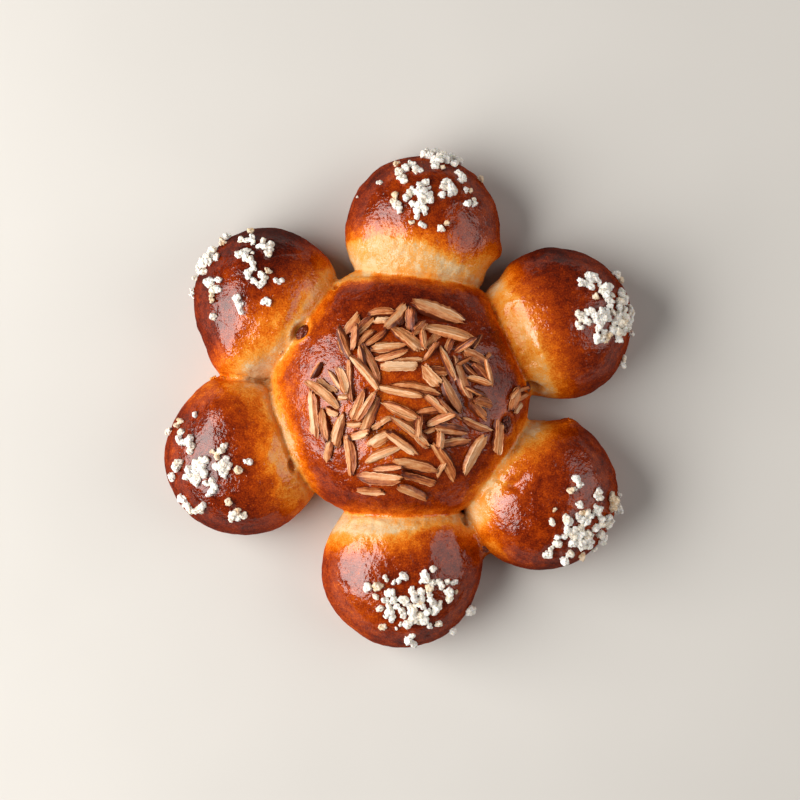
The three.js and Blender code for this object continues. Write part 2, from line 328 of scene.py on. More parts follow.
def turned_ball(name, ball):
    """A ball of dough, spun from its profile."""
    start_piece()
    x, y = ball["x"] * MM, ball["y"] * MM
    profile = [(x + r * MM, y, z * MM) for r, z in ball_profile(ball)]
    mesh = bpy.data.meshes.new(name)
    mesh.from_pydata(profile, [(i, i + 1) for i in range(len(profile) - 1)], [])
    piece = bpy.data.objects.new(name, mesh)
    bpy.context.scene.collection.objects.link(piece)
    bpy.context.view_layer.objects.active = piece
    piece.select_set(True)
    bpy.ops.object.mode_set(mode="EDIT")
    bpy.ops.mesh.select_all(action="SELECT")
    bpy.ops.mesh.spin(steps=SPIN_STEPS, angle=math.tau, center=(x, y, 0), axis=(0, 0, 1))
    bpy.ops.mesh.select_all(action="SELECT")
    bpy.ops.mesh.remove_doubles(threshold=0.01 * MM)
    bpy.ops.mesh.normals_make_consistent(inside=False)
    bpy.ops.object.mode_set(mode="OBJECT")
    return piece


def settle_dough(piece):
    """Draws the mesh onto the dough's rounded shape, evening out its faces on the way."""
    points = points_of(piece) / MM
    uneven = sum(height * noise_over(points, across, seed, 2) for height, across, seed in LUMPS)
    uneven *= smoothstep(0, 12, points[:, 2])
    for turn in range(SETTLING_TURNS):
        distance = dough_distance(points) - uneven
        slope = np.stack([
            dough_distance(points + SLOPE_STEP * way) - uneven - distance for way in np.eye(3)
        ], 1) / SLOPE_STEP
        move = np.clip(distance, -LONGEST_MOVE, LONGEST_MOVE) / np.maximum((slope**2).sum(1), 0.05)
        points -= move[:, None] * slope
        if turn < EVENING_TURNS:
            points += EVENING_SHARE * (neighbour_average(piece, points) - points)
    points[:, 2] = np.maximum(points[:, 2], 0)
    move_points(piece, points * MM)


def plan_offset(points, x, y, heading):
    """Places relative to a point of the plan, along a heading and across it."""
    turn = math.radians(heading)
    east, north = points[:, 0] - x, points[:, 1] - y
    return (
        east * math.cos(turn) + north * math.sin(turn),
        north * math.cos(turn) - east * math.sin(turn),
    )


# Holes in the crust: x, y, half length, half width, heading, depth, how far the rim stands up.
PITS = [
    (-49.8, 31.8, 5.6, 3.6, 50, 2.4, 0.7),
    (-32.4, 54.2, 2.2, 1.2, 50, 4, 0.2),
    (65.8, 4.6, 5.2, 1.7, -24, 5.5, 0.1),
    (-53.8, -34.6, 4.2, 1.9, 108, 4, 0.3),
    (31.4, -62.2, 2.6, 1.5, 120, 3, 0.2),
    (51, -14, 5.4, 3.2, 96, 1.8, 0.2),
]
# Dents and bumps: x, y, reach along, reach across, heading, height (negative for a dent).
SWELLS = [
    (54.5, -43.9, 7, 2.6, 40, -2.2), (-27.5, -94.5, 2.2, 1, 110, -0.9),
    (83.2, -13, 4.4, 2.2, 10, 1.6), (-12.6, 79.4, 1.8, 1.8, 0, 0.35),
    (-12.6, 79.4, 0.8, 0.8, 0, -0.5), (45.3, -42, 2.6, 1.6, 50, 1.5),
    (48.6, -38.4, 1.8, 1.2, 40, 1.1), (41.6, -48.4, 3.8, 1.6, 65, 1.5),
    (55.6, -28.6, 1.4, 1, 40, 0.9), (-16, -22, 24, 20, 0, -0.8), (12, 22, 26, 16, 20, -0.7),
    (-90, 10.4, 6, 2.2, 0, -1.6), (-64, 60, 20, 6, -20, 0.5), (60, 24, 12, 3, 110, -0.9),
    (68, 22, 14, 2.2, 112, 0.6), (40, -70, 8, 5, -60, 1.2), (-50, 47, 5, 2, 60, -0.5),
    (-57, 40, 7, 2, 60, 0.6), (-61, 28, 6, 3, 40, 0.5), (-63, -20, 12, 2, 70, 0.6),
    (-60, -40, 8, 2.2, 112, 0.7), (-20, -66, 12, 2, -6, 0.3),
]
# Creases: points along each, then half width and depth.
CREASES = [
    ([(-66, 68.5), (-60, 69.8), (-51, 70.6)], 0.7, 0.5),
    ([(-34.4, -92.5), (-33.7, -99), (-30.6, -103.2)], 0.9, 0.4),
    ([(-66, 3), (-63, -8), (-58, -20), (-54, -32), (-47, -44)], 1.1, 1.4),
    ([(-98, 10), (-90, 9.4), (-80, 9), (-70, 7.4), (-65, 4)], 1.0, 1.6),
    ([(47, -41), (52, -42.5), (57, -46)], 1.2, 1),
    ([(-24, 60), (0, 59.6), (22, 57.6), (38, 54)], 1.1, 0.9),
    ([(45, 44), (52, 27), (61, 8)], 1.1, 1.2),
    ([(38, -52), (48, -37), (58, -22)], 1.2, 1.4),
]
# Torn lips of dough that stand up beside a seam: points along each, half width and height.
LIPS = [
    ([(-62.5, 5), (-59.6, -8), (-55.4, -20), (-51.6, -31), (-46.6, -42)], 1.4, 0.9),
    ([(-32.8, 56.5), (-29.5, 59.4), (-24.6, 61)], 1.2, 1.1),
    ([(-24, -61.2), (-16, -60.4), (-9, -62.2)], 1, 0.9),
    ([(2, -67), (4, -63.5), (8, -62.6)], 0.8, 0.5),
]


def distance_to_line(points, line):
    """Distance in plan from points to a line through a row of places."""
    nearest = np.full(len(points), np.inf)
    for start, end in zip(line[:-1], line[1:]):
        step = np.subtract(end, start).astype(float)
        from_start = points[:, :2] - np.array(start, float)
        share = np.clip((from_start @ step) / (step @ step), 0, 1)
        gap = from_start - share[:, None] * step
        nearest = np.minimum(nearest, np.hypot(gap[:, 0], gap[:, 1]))
    return nearest


def pit_shares(points):
    """For each hole: how far points are from its middle as a share of its half size, depth, rim."""
    for x, y, half_length, half_width, heading, depth, rim in PITS:
        along, across = plan_offset(points, x, y, heading)
        yield np.hypot(along / half_length, across / half_width), depth, rim


def crust_relief(points, facing_up):
    """Height of the crust's dents, pits, creases and lips above its smooth shape."""
    relief = np.zeros(len(points))
    wander = 0.8 * noise_over(points, 5, 5, 2)
    for share, depth, rim in pit_shares(points):
        ragged = share + 0.12 * wander
        relief += rim * soft_ridge(ragged - 1.22, 0.2) - depth * (1 - smoothstep(0.35, 1.05, ragged))
    for x, y, reach_along, reach_across, heading, height in SWELLS:
        along, across = plan_offset(points, x, y, heading)
        relief += height * soft_ridge(along, reach_along) * soft_ridge(across, reach_across)
    for line, half_width, depth in CREASES:
        relief -= depth * soft_ridge(distance_to_line(points, line), half_width)
    for line, half_width, height in LIPS:
        torn = height * (1 + 0.5 * wander)
        relief += torn * soft_ridge(distance_to_line(points, line), half_width)
    return relief * facing_up


def seam_places(points):
    """For each point: the number of the petal nearest to it, its way out from that petal's seam
    with the centre ball, its way along the seam, and how far it lies past it, on the centre."""
    nearest = np.full(len(points), np.inf)
    owner = np.zeros(len(points), int)
    out = np.full(len(points), -1.0)
    side = np.zeros(len(points))
    east, north = points[:, 0] - CENTRE["x"], points[:, 1] - CENTRE["y"]
    for index, (name, ball) in enumerate(PETALS.items()):
        distance = petal_distance(name, points)
        way = np.array([ball["x"] - CENTRE["x"], ball["y"] - CENTRE["y"]])
        way /= np.hypot(*way)
        closer = distance < nearest
        nearest = np.where(closer, distance, nearest)
        owner = np.where(closer, index, owner)
        out = np.where(closer, east * way[0] + north * way[1] - SEAM_OF_PETALS, out)
        side = np.where(closer, north * way[0] - east * way[1], side)
    lid = LID_REACH["out"] * soft_ridge(points[:, 0] - LID_REACH["x"], LID_REACH["along"])
    lid *= soft_ridge(points[:, 1] - LID_REACH["y"], LID_REACH["across"])
    return owner, out, side, nearest - ball_distance(CENTRE, points) + lid


def browning_and_painted_shade_of(points, owner, out, side, past_seam):
    """How brown the crust is, from 0, pale dough, to 1, the darkest glaze, with the spots' painted shade
    and light added in.
    """
    blotch = noise_over(points, 7, 7, 4)
    fine = noise_over(points, 2.4, 8, 2)
    on_petal = np.zeros(len(points))
    for index, band in enumerate(BANDS.values()):
        edge = band["width"] - band["narrows"] * side**2 + band["leans"] * side + 3 * blotch
        share = 0.35 * smoothstep(0, 4, out - edge) + 0.65 * smoothstep(0, band["over"], out - edge)
        brown = band["dough"] + 0.1 * blotch + (band["full"] - band["dough"]) * share
        on_petal = np.where(owner == index, brown, on_petal)
    radius = np.hypot(points[:, 0] - CENTRE["x"], points[:, 1] - CENTRE["y"])
    inward = past_seam * 1.6 + 2 * blotch
    rim = 0.3 * smoothstep(0, 5, inward) + 0.7 * smoothstep(3, 18, inward)
    on_centre = CENTRE_SEAM_BROWN + CENTRE_INNER_BROWN * rim + 0.05 * blotch
    on_centre += CENTRE_CROWN_BROWN * smoothstep(20, 50, radius)
    # The spots add browning, and also painted shade on north rims and painted light in shaded hollows.
    brown = np.where(past_seam < 0, on_petal, on_centre) + spots_over(points, BROWNING_AND_PAINTED_SHADE)
    low = 1 - smoothstep(3, 13, points[:, 2])
    brown += 0.03 * fine - 0.35 * low * (brown - LOW_SIDE_BROWN)
    return np.clip(brown, 0, 1)


def make_loaf():
    """The risen balls as one mesh, with the crust's relief, how brown it is with some painted shade and
    light, how glazed it is, and a painted warm glow of bounced light along its seams.
    """
    balls = [turned_ball(f"ball_{i}", ball) for i, ball in enumerate(BALLS)]
    loaf = join_under_skin(balls, "loaf", LOAF_GRID)
    settle_dough(loaf)
    smooth = points_of(loaf) / MM
    normals = normals_of(loaf)
    height, upward = smooth[:, 2], normals[:, 2]
    owner, out, side, past_seam = seam_places(smooth)
    brown = browning_and_painted_shade_of(smooth, owner, out, side, past_seam)
    pale = 1 - smoothstep(0.12, 0.5, brown)
    strands = np.stack([out * 0.22, side, height * 0.2], 1)
    pull = 0.5 * noise_over(smooth * np.array([1, 1, 0.6]), 3.2, 11, 3)
    pull += 0.7 * noise_over(strands, 2, 12, 3)
    relief = crust_relief(smooth, smoothstep(0.05, 0.5, upward))
    relief += (0.1 + 0.3 * pale) * pull * smoothstep(2, 8, height)
    move_points(loaf, (smooth + relief[:, None] * normals) * MM)
    brown += 0.07 * pale * noise_over(strands, 2.6, 13, 3)
    for share, _, _ in pit_shares(smooth):
        brown -= 0.16 * soft_ridge(share - 1.2, 0.25) * (share < 1.5)
    paint(loaf, "browning", np.clip(brown, 0, 1))
    paint(loaf, "glaze", (1 + spots_over(smooth, GLAZE)) * smoothstep(0.38, 0.82, upward))
    # Painted light: a warm glow of light bounced between the balls, strongest along the seams.
    paint(loaf, "painted_seam_glow", soft_ridge(past_seam, 4) * smoothstep(0, 6, height))
    paint(loaf, "underside", 1 - smoothstep(0.3, 2.5, height))
    smooth_faces(loaf)
    return loaf


# ---------- places on the crust ----------

ABOVE_THE_CAKE = 0.2
DOWN = Vector((0, 0, -1))


def lying_at(x, y, height):
    """The true place of what looks from above to lie at x, y, when it is at a height in metres."""
    share = (CAMERA_HEIGHT - height) / (CAMERA_HEIGHT - VIEW_LEVEL)
    return [(value * MM - middle) * share + middle for value, middle in zip((x, y), VIEW_MIDDLE)]


class Surface:
    """The crust and whatever already lies on it, for finding where the next piece rests."""

    def __init__(self, piece):
        self.crust = surface_tree(piece)
        self.laid = []

    def add(self, piece):
        points = points_of(piece)
        self.laid.append((surface_tree(piece), points.min(0), points.max(0)))

    def height(self, x, y):
        """Height of the highest surface under a place in metres, or None off the cake."""
        above = Vector((x, y, ABOVE_THE_CAKE))
        trees = [self.crust] + [
            tree for tree, low, high in self.laid if low[0] <= x <= high[0] and low[1] <= y <= high[1]
        ]
        hits = [tree.ray_cast(above, DOWN)[0] for tree in trees]
        heights = [hit.z for hit in hits if hit is not None]
        return max(heights) if heights else None

    def place_below(self, x, y):
        """The true plan place, in metres, of what looks from above to lie on the crust at x, y."""
        spot = lying_at(x, y, VIEW_LEVEL)
        for _ in range(2):
            spot = lying_at(x, y, self.height(*spot) or VIEW_LEVEL)
        return spot

    def below(self, x, y, rim_height):
        """The crust's point and outward direction under a place, or beside it past the rim."""
        point, normal = self.crust.ray_cast(Vector((x, y, ABOVE_THE_CAKE)), DOWN)[:2]
        if point is None or point.z < rim_height:
            return self.crust.find_nearest(Vector((x, y, rim_height)))[:2]
        return point, normal


def surface_tree(piece):
    """A piece's faces, laid out for finding where a line meets them."""
    points = [v.co.copy() for v in piece.data.vertices]
    return BVHTree.FromPolygons(points, [tuple(face.vertices) for face in piece.data.polygons])


# ---------- almond slivers ----------

# In millimetres: how thick a sliver is, and how far it sinks into what it rests on. Then how much
# longer a sliver is made than its node in the frame, and how much fuller each is made than its
# width there or in the lists below.
SLIVER_THICKNESS = 2.5
SLIVER_SINKS = 0.55
FRAME_SLIVER_LENGTHENS = 1.03
SLIVER_FULLNESS = 1.34
# The places along a sliver that may touch what is under it, as shares of its half length, and
# the most it slopes and leans.
TOUCHING_PLACES = (-0.85, -0.6, -0.3, 0, 0.3, 0.6, 0.85)
STEEPEST_SLOPE = 0.9
MOST_LEAN = 0.6
# Cuts along, across and up the blank. Its points then lie in ten rows across: a sliver's ridge
# follows one of the four inner rows, and its rims end at the second and ninth.
BLANK_CUTS = (21, 8, 2)
RIDGE_ROWS = (-1 / 3, -1 / 9, 1 / 9, 1 / 3)
RIM_ROW = 7 / 9
# Edges of a sliver that turn more than this stay sharp.
ALMOND_CREASE = math.radians(32)
# How each end narrows: a high power stays wide and then rounds off, a low one is pointed; then the
# share of the width left at the very tips, and how uneven the edges are.
SLIVER_KINDS = {
    "boat": {"start": 3.6, "end": 2.6, "tip": 0.16, "uneven": 0.12},
    "wedge": {"start": 14, "end": 2.0, "tip": 0.24, "uneven": 0.16},
    "stick": {"start": 14, "end": 9, "tip": 0.5, "uneven": 0.2},
    "leaf": {"start": 4.5, "end": 4.5, "tip": 0.2, "uneven": 0.14},
    "slab": {"start": 4.0, "end": 3.0, "tip": 0.22, "uneven": 0.14},
}
# How toasted each sliver of the frame is, from 0, pale, to 1, brown, and its kind.
FRAME_SLIVERS = [
    (0.65, "boat"), (0.6, "leaf"), (0.55, "boat"), (0.3, "stick"), (0.3, "slab"), (0.3, "boat"),
    (0.35, "wedge"), (0.4, "leaf"), (0.05, "stick"), (0.55, "wedge"), (0.45, "boat"),
    (0.6, "wedge"), (0.4, "boat"), (0.6, "leaf"), (0.5, "boat"), (0.2, "leaf"), (0.45, "stick"),
    (0.5, "boat"), (0.6, "boat"), (0.5, "boat"), (0.35, "wedge"), (0.3, "boat"), (0.65, "leaf"),
    (0.55, "boat"), (0.15, "boat"), (0.5, "leaf"), (0.4, "leaf"), (0.35, "leaf"), (0.5, "boat"),
    (0.5, "stick"), (0.3, "stick"),
]
# More slivers: x, y, heading, length, width, how toasted, kind. The first group lies lowest.
LOW_SLIVERS = [
    (-18.7, 28.8, 47, 11, 3.5, 0.6, "boat"), (-30, 25, 105, 9, 2.2, 0.5, "stick"),
    (0.3, 38.8, 64, 8, 3, 0.6, "leaf"), (-10, 38, 2, 6, 2.5, 0, "stick"),
    (-10, 41.5, 4, 13, 3.3, 0.6, "boat"), (4, 38, 93, 12, 4.5, 0.75, "leaf"),
    (16, 27.8, 53, 9.5, 3, 0.4, "stick"), (24, 26, 63, 7.7, 2.9, 0.6, "stick"),
    (2.8, 17.5, 4, 13.5, 2.2, 0.3, "stick"), (34.5, 13.5, 138, 11, 3, 0.85, "boat"),
    (38.5, 1, 149, 10, 2.6, 0.65, "boat"), (18.5, 12.5, 175, 10, 4.5, 0.65, "leaf"),
    (-36, -26, 78, 15, 3, 0.45, "boat"), (-22, -4, 66, 15.9, 3.5, 0.4, "wedge"),
    (-23.5, -14.3, 2, 7.4, 2.5, 0.3, "stick"), (-12.8, -15, 25, 5.3, 2.2, 0.3, "stick"),
    (3.5, -14.5, 145, 10, 3.5, 0.6, "leaf"), (14, -17, 25, 5, 2.2, 0.5, "stick"),
    (14, -7.8, 8, 12.4, 3, 0.65, "leaf"), (26.5, -23.5, 7, 14, 4, 0.5, "wedge"),
    (-8, -12.5, 25, 6, 2.2, 0.3, "stick"), (-29.5, -1, 0, 5, 2.2, 0.2, "stick"),
    (43, 20, 45, 3.5, 1.6, 0.5, "stick"), (60, -0.5, 30, 9.2, 2.9, 0.45, "boat"),
    (57.8, -5.8, 55, 6, 3, 0.35, "leaf"), (-32.8, 7.5, 125, 13, 1.9, 0.1, "boat"),
    (-34.8, -7.8, 153, 6, 2.5, 0.2, "stick"), (10, -22, 140, 11, 3, 0.3, "boat"),
    (-15.5, -47.8, 177, 12.5, 3.3, 0.3, "leaf"), (19.5, -36.8, 58, 7.8, 2.6, 0.35, "boat"),
]
HIGH_SLIVERS = [
    (-24.8, 35.7, 53, 10, 4.2, 0.5, "leaf"), (-23.5, 29.4, 80, 12.5, 2.5, 0.5, "boat"),
    (-12.8, 28.8, 35, 12.9, 2.8, 0.65, "boat"), (-19.3, 18, 103, 14.5, 2.2, 0.45, "boat"),
    (-26, 8, 92, 20, 2.8, 0.5, "stick"), (-30, 8, 108, 13.4, 3.8, 0.35, "leaf"),
    (-42.8, 12.8, 59, 8.7, 2.5, 0.65, "boat"), (-37.8, 5, 146, 10.8, 3.8, 0.4, "leaf"),
    (-39.5, 1, 140, 20, 4, 0.3, "boat"), (-38.5, -14.5, 100, 16, 3.8, 0.45, "boat"),
    (-31, -17, 75, 15.6, 4.2, 0.35, "wedge"), (-17.5, -5, 56, 16.9, 2.8, 0.45, "boat"),
    (-21, -19.3, 15, 10, 3.3, 0.2, "stick"), (8.5, 34.5, 40, 8.3, 3.5, 0.5, "leaf"),
    (10.5, 28.5, 98, 9.5, 2.3, 0.4, "boat"), (-5.5, 20.5, 16, 16.8, 3.2, 0.4, "boat"),
    (22.8, 16.3, 114, 17.6, 2.6, 0.2, "boat"), (31.5, 25.3, 32, 12.5, 3.2, 0.65, "boat"),
    (39.5, 12, 133, 12, 4, 0.6, "wedge"), (43.5, 11.5, 103, 15.3, 1.9, 0.3, "boat"),
    (38.3, 7.5, 163, 12.6, 2.5, 0.3, "boat"), (40.5, -3.3, 163, 11.7, 3.5, 0.65, "leaf"),
    (16.8, -3.8, 140, 14, 3.2, 0.35, "boat"), (23.5, -6.5, 137, 18, 1.9, 0.6, "boat"),
    (19.5, -11.5, 20, 14.5, 3.3, 0.4, "boat"), (-1.3, 2, 169, 22, 3, 0.25, "boat"),
    (14.5, 10.5, 131, 11.7, 5, 0.3, "wedge"), (-0.5, -23.5, 143, 17.4, 4.2, 0.2, "leaf"),
    (18.8, -22, 88, 8, 3, 0.4, "stick"), (-7.3, -35.8, 5, 15.6, 2.8, 0.45, "boat"),
    (8.3, -41.3, 163, 17.5, 3.4, 0.65, "stick"), (-18.5, 11.8, 130, 20.3, 2.8, 0.15, "boat"),
    (8.3, -15.5, 86, 9.7, 2.6, 0.45, "stick"), (37.5, 27, 58, 9, 1.5, 0.75, "stick"),
    (61, 3.5, 18, 7, 1.3, 0.45, "stick"), (56.5, 1.2, 50, 6.5, 1.9, 0.35, "leaf"),
    (31, 17.5, 28, 9, 1.6, 0.6, "boat"), (36.5, 2.5, 155, 10, 1.6, 0.7, "stick"),
]


def sliver_blank():
    """A bar with cuts along and across it, two units each way, that every sliver is shaped from."""
    start_piece()
    bpy.ops.mesh.primitive_cube_add(size=2)
    blank = name_active("sliver_blank")
    for axis, cuts in enumerate(BLANK_CUTS):
        cut_across(blank, axis, cuts)
    return blank


def cut_across(piece, axis, cuts):
    """Cuts a box into slices along an axis, by dividing the edges that run along it."""
    bpy.ops.object.mode_set(mode="EDIT")
    bpy.ops.mesh.select_mode(type="EDGE")
    bpy.ops.mesh.select_all(action="DESELECT")
    bpy.ops.object.mode_set(mode="OBJECT")
    for edge in piece.data.edges:
        one, other = (piece.data.vertices[i].co for i in edge.vertices)
        edge.select = abs(one[axis] - other[axis]) > 1e-4
    bpy.ops.object.mode_set(mode="EDIT")
    bpy.ops.mesh.subdivide(number_cuts=cuts)
    bpy.ops.object.mode_set(mode="OBJECT")


def copy_piece(blank, name):
    start_piece()
    piece = blank.copy()
    piece.data = blank.data.copy()
    piece.name = piece.data.name = name
    bpy.context.scene.collection.objects.link(piece)
    bpy.context.view_layer.objects.active = piece
    piece.select_set(True)
    return piece


def shape_sliver(piece, length, width, thickness, toast, kind, bow, draw):
    """Turns a copy of the blank into a sliver lying along X."""
    ends = SLIVER_KINDS[kind]
    along, across, up = points_of(piece).T
    power = np.where(along < 0, ends["start"], ends["end"])
    narrow = np.maximum((1 - np.abs(along) ** power) ** 0.8, ends["tip"])
    top_share = (up + 1) / 2
    ridge = draw.choice(RIDGE_ROWS)
    straight_side = draw.choice((-1, 1))
    edge = np.where(across * straight_side > 0, narrow ** draw.uniform(0.2, 0.6), narrow)
    crest = draw.uniform(0.05, 0.6)
    fall = np.abs(across - ridge) / (1 + abs(ridge))
    hollow = draw.uniform(0, 0.25) * (fall > 0.2) * (fall < 0.9)
    spots = np.stack([along * length * 0.3, across * 0.4, up * 0.2], 1) + draw.uniform(0, 900)
    frayed = ends["uneven"] * noise_over(spots, 1.0, 61, 2)
    lean_in = draw.uniform(0.05, 0.4)
    y = across * edge * (1 - lean_in * top_share) * (1 + frayed * np.abs(across))
    y = y * width / 2 + bow * (1 - along**2) * width * 0.5
    z = up * (0.5 + 0.5 * narrow) - top_share * (crest * fall + hollow) * narrow
    z = z * thickness / 2 + draw.uniform(-0.3, 0.35) * (1 - along**2) * thickness
    ends_apart = np.stack([along > 0, across * 1.6, up * 0.6], 1) + draw.uniform(0, 900)
    splinters = noise_over(ends_apart, 0.8, 65, 2)
    slant = draw.uniform(-0.5, 0.5) * across * narrow
    x = along * length / 2 + (slant + 0.35 * splinters) * width * (np.abs(along) > 0.86)
    twist = draw.uniform(-0.3, 0.3) * along
    y, z = y * np.cos(twist) - z * np.sin(twist), z * np.cos(twist) + y * np.sin(twist)
    grooves = noise_over(np.stack([x * 0.2, y, z], 1) + draw.uniform(0, 900), 0.9, 63, 2)
    points = np.stack([x, y + 0.14 * grooves, z + 0.26 * grooves * top_share], 1) * MM
    move_points(piece, points)
    paint(piece, "toast", sliver_toast_and_painted_light(along, across, up, ridge, toast, draw))
    local = piece.data.attributes.new("grain_place", "FLOAT_VECTOR", "POINT")
    shift = np.array([draw.uniform(0, 1), draw.uniform(0, 1), 0])
    local.data.foreach_set("vector", (points + shift).astype(np.float32).ravel())
    bpy.ops.object.shade_smooth_by_angle(angle=ALMOND_CREASE)


def sliver_toast_and_painted_light(along, across, up, ridge, toast, draw):
    """How toasted each point of the blank is, with painted light and shade on top: darker tips, darker
    sides and underside that are partly painted shade, paler rims and ridge that are painted highlights, and
    facets toned apart as lit and shaded.
    """
    side = np.abs(across) > 0.99
    top = up > 0.99
    # The two facets either side of the ridge are toned apart at random, partly standing for a lit and a
    # shaded face.
    toast_with_painted_light = toast + np.where(across < ridge, 1, -1) * draw.uniform(-0.24, 0.24)
    # Darker sides and underside: partly toasting, partly painted shade.
    toast_with_painted_light += (0.2 + draw.uniform(0, 0.26)) * (side & ~top) + 0.3 * (up < -0.9) + 0.05
    skin_side = draw.choice((-1, 0, 0, 1))
    toast_with_painted_light += 0.36 * (across * skin_side > 0.8) * (np.abs(along) < draw.uniform(0.6, 1))
    # Painted highlights: the rims and the ridge are made paler, as if catching light, with a darker line
    # just inside each rim.
    toast_with_painted_light -= draw.uniform(0.2, 0.36) * (side & top)
    toast_with_painted_light += 0.16 * (top & (np.abs(np.abs(across) - RIM_ROW) < 0.05))
    toast_with_painted_light -= draw.uniform(0, 0.16) * (top & (np.abs(across - ridge) < 0.05))
    toast_with_painted_light += draw.uniform(-0.05, 0.4) * np.abs(along) ** 9 + draw.uniform(-0.15, 0.15) * along
    return toast_with_painted_light


def resting_line(places, heights):
    """Height at the middle and slope of a straight stick that rests on what is under it."""
    best = None
    for i, (left, low) in enumerate(zip(places, heights)):
        for right, high in zip(places[i:], heights[i:]):
            if left > 0 or right < 0 or right - left < 1e-9:
                continue
            slope = (high - low) / (right - left)
            middle = low - slope * left
            if best is None or middle > best[0]:
                best = (middle, slope)
    return best


def lay_sliver(piece, surface, x, y, heading, length, width, thickness, roll):
    """Lays a shaped sliver on the crust, or across the slivers already there."""
    turn = math.radians(heading)
    way = np.array([math.cos(turn), math.sin(turn)])
    side = np.array([-way[1], way[0]])
    middle_place = np.array(surface.place_below(x, y))
    places = [share * length * MM / 2 for share in TOUCHING_PLACES]
    reach = 0.3 * width * MM
    left, right = [], []
    for place in places:
        spot = middle_place + place * way
        left.append(surface.height(*(spot + reach * side)) or 0)
        right.append(surface.height(*(spot - reach * side)) or 0)
    middle, slope = resting_line(places, [max(pair) for pair in zip(left, right)])
    lean = math.atan2(np.median(np.subtract(left, right)), 2 * reach)
    lean = max(-MOST_LEAN, min(MOST_LEAN, lean)) + roll
    tilt = math.atan(max(-STEEPEST_SLOPE, min(STEEPEST_SLOPE, slope)))
    level = middle + (0.5 * thickness - SLIVER_SINKS) * MM
    piece.data.transform(
        Matrix.Translation((*middle_place, level))
        @ Matrix.Rotation(turn, 4, "Z")
        @ Matrix.Rotation(-tilt, 4, "Y")
        @ Matrix.Rotation(lean, 4, "X")
    )
    piece.data.update()
    surface.add(piece)


def sliver_of_frame(node):
    """Plan place, heading, length, width and bow of a sliver in the frame."""
    points = points_of(node)[:, :2] / MM
    middle = (points.min(0) + points.max(0)) / 2
    spread = points - points.mean(0)
    way = np.linalg.svd(spread, full_matrices=False)[2][0]
    along, across = spread @ way, spread @ np.array([-way[1], way[0]])
    ends = across[np.abs(along) > 0.4 * np.ptp(along)].mean()
    bow = (across[np.abs(along) < 0.25 * np.ptp(along)].mean() - ends) / max(np.ptp(across), 1)
    return (*middle, math.degrees(math.atan2(way[1], way[0])), np.ptp(along), np.ptp(across), bow)


def make_slivers(surface, material):
    """All the slivers, from the lowest up: a lower group, those of the frame and a higher group."""
    draw = random.Random(12)
    blank = sliver_blank()
    rows = [(f"sliver_low_{i + 1:02d}", None, row, 0.0) for i, row in enumerate(LOW_SLIVERS)]
    for index, (toast, kind) in enumerate(FRAME_SLIVERS):
        node = f"almond_sliver_{index + 1:02d}"
        x, y, heading, length, width, bow = sliver_of_frame(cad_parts[node])
        row = (x, y, heading, length * FRAME_SLIVER_LENGTHENS, width, toast, kind)
        rows.append((f"sliver_{index + 1:02d}", node, row, bow))
    rows += [(f"sliver_high_{i + 1:02d}", None, row, 0.0) for i, row in enumerate(HIGH_SLIVERS)]
    for name, node, (x, y, heading, length, width, toast, kind), bow in rows:
        piece = copy_piece(blank, name)
        width *= SLIVER_FULLNESS
        thickness = min(SLIVER_THICKNESS, 0.8 * width + 0.4) * draw.uniform(0.85, 1.15)
        bend = bow if node else draw.uniform(-0.35, 0.35)
        shape_sliver(piece, length, width, thickness, toast, kind, bend, draw)
        lay_sliver(piece, surface, x, y, heading, length, width, thickness, draw.uniform(-0.4, 0.4))
        finish_piece(piece, material, [node] if node else [])
    bpy.data.objects.remove(blank)


def finish_piece(piece, material, nodes=()):
    """Gives a piece its material, hangs it under the frame's root body, and hides the frame's nodes that it
    stands for.
    """
    piece.data.materials.clear()
    piece.data.materials.append(material)
    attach(piece, "root")
    if nodes:
        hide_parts(*nodes)


# ---------- pearl sugar ----------

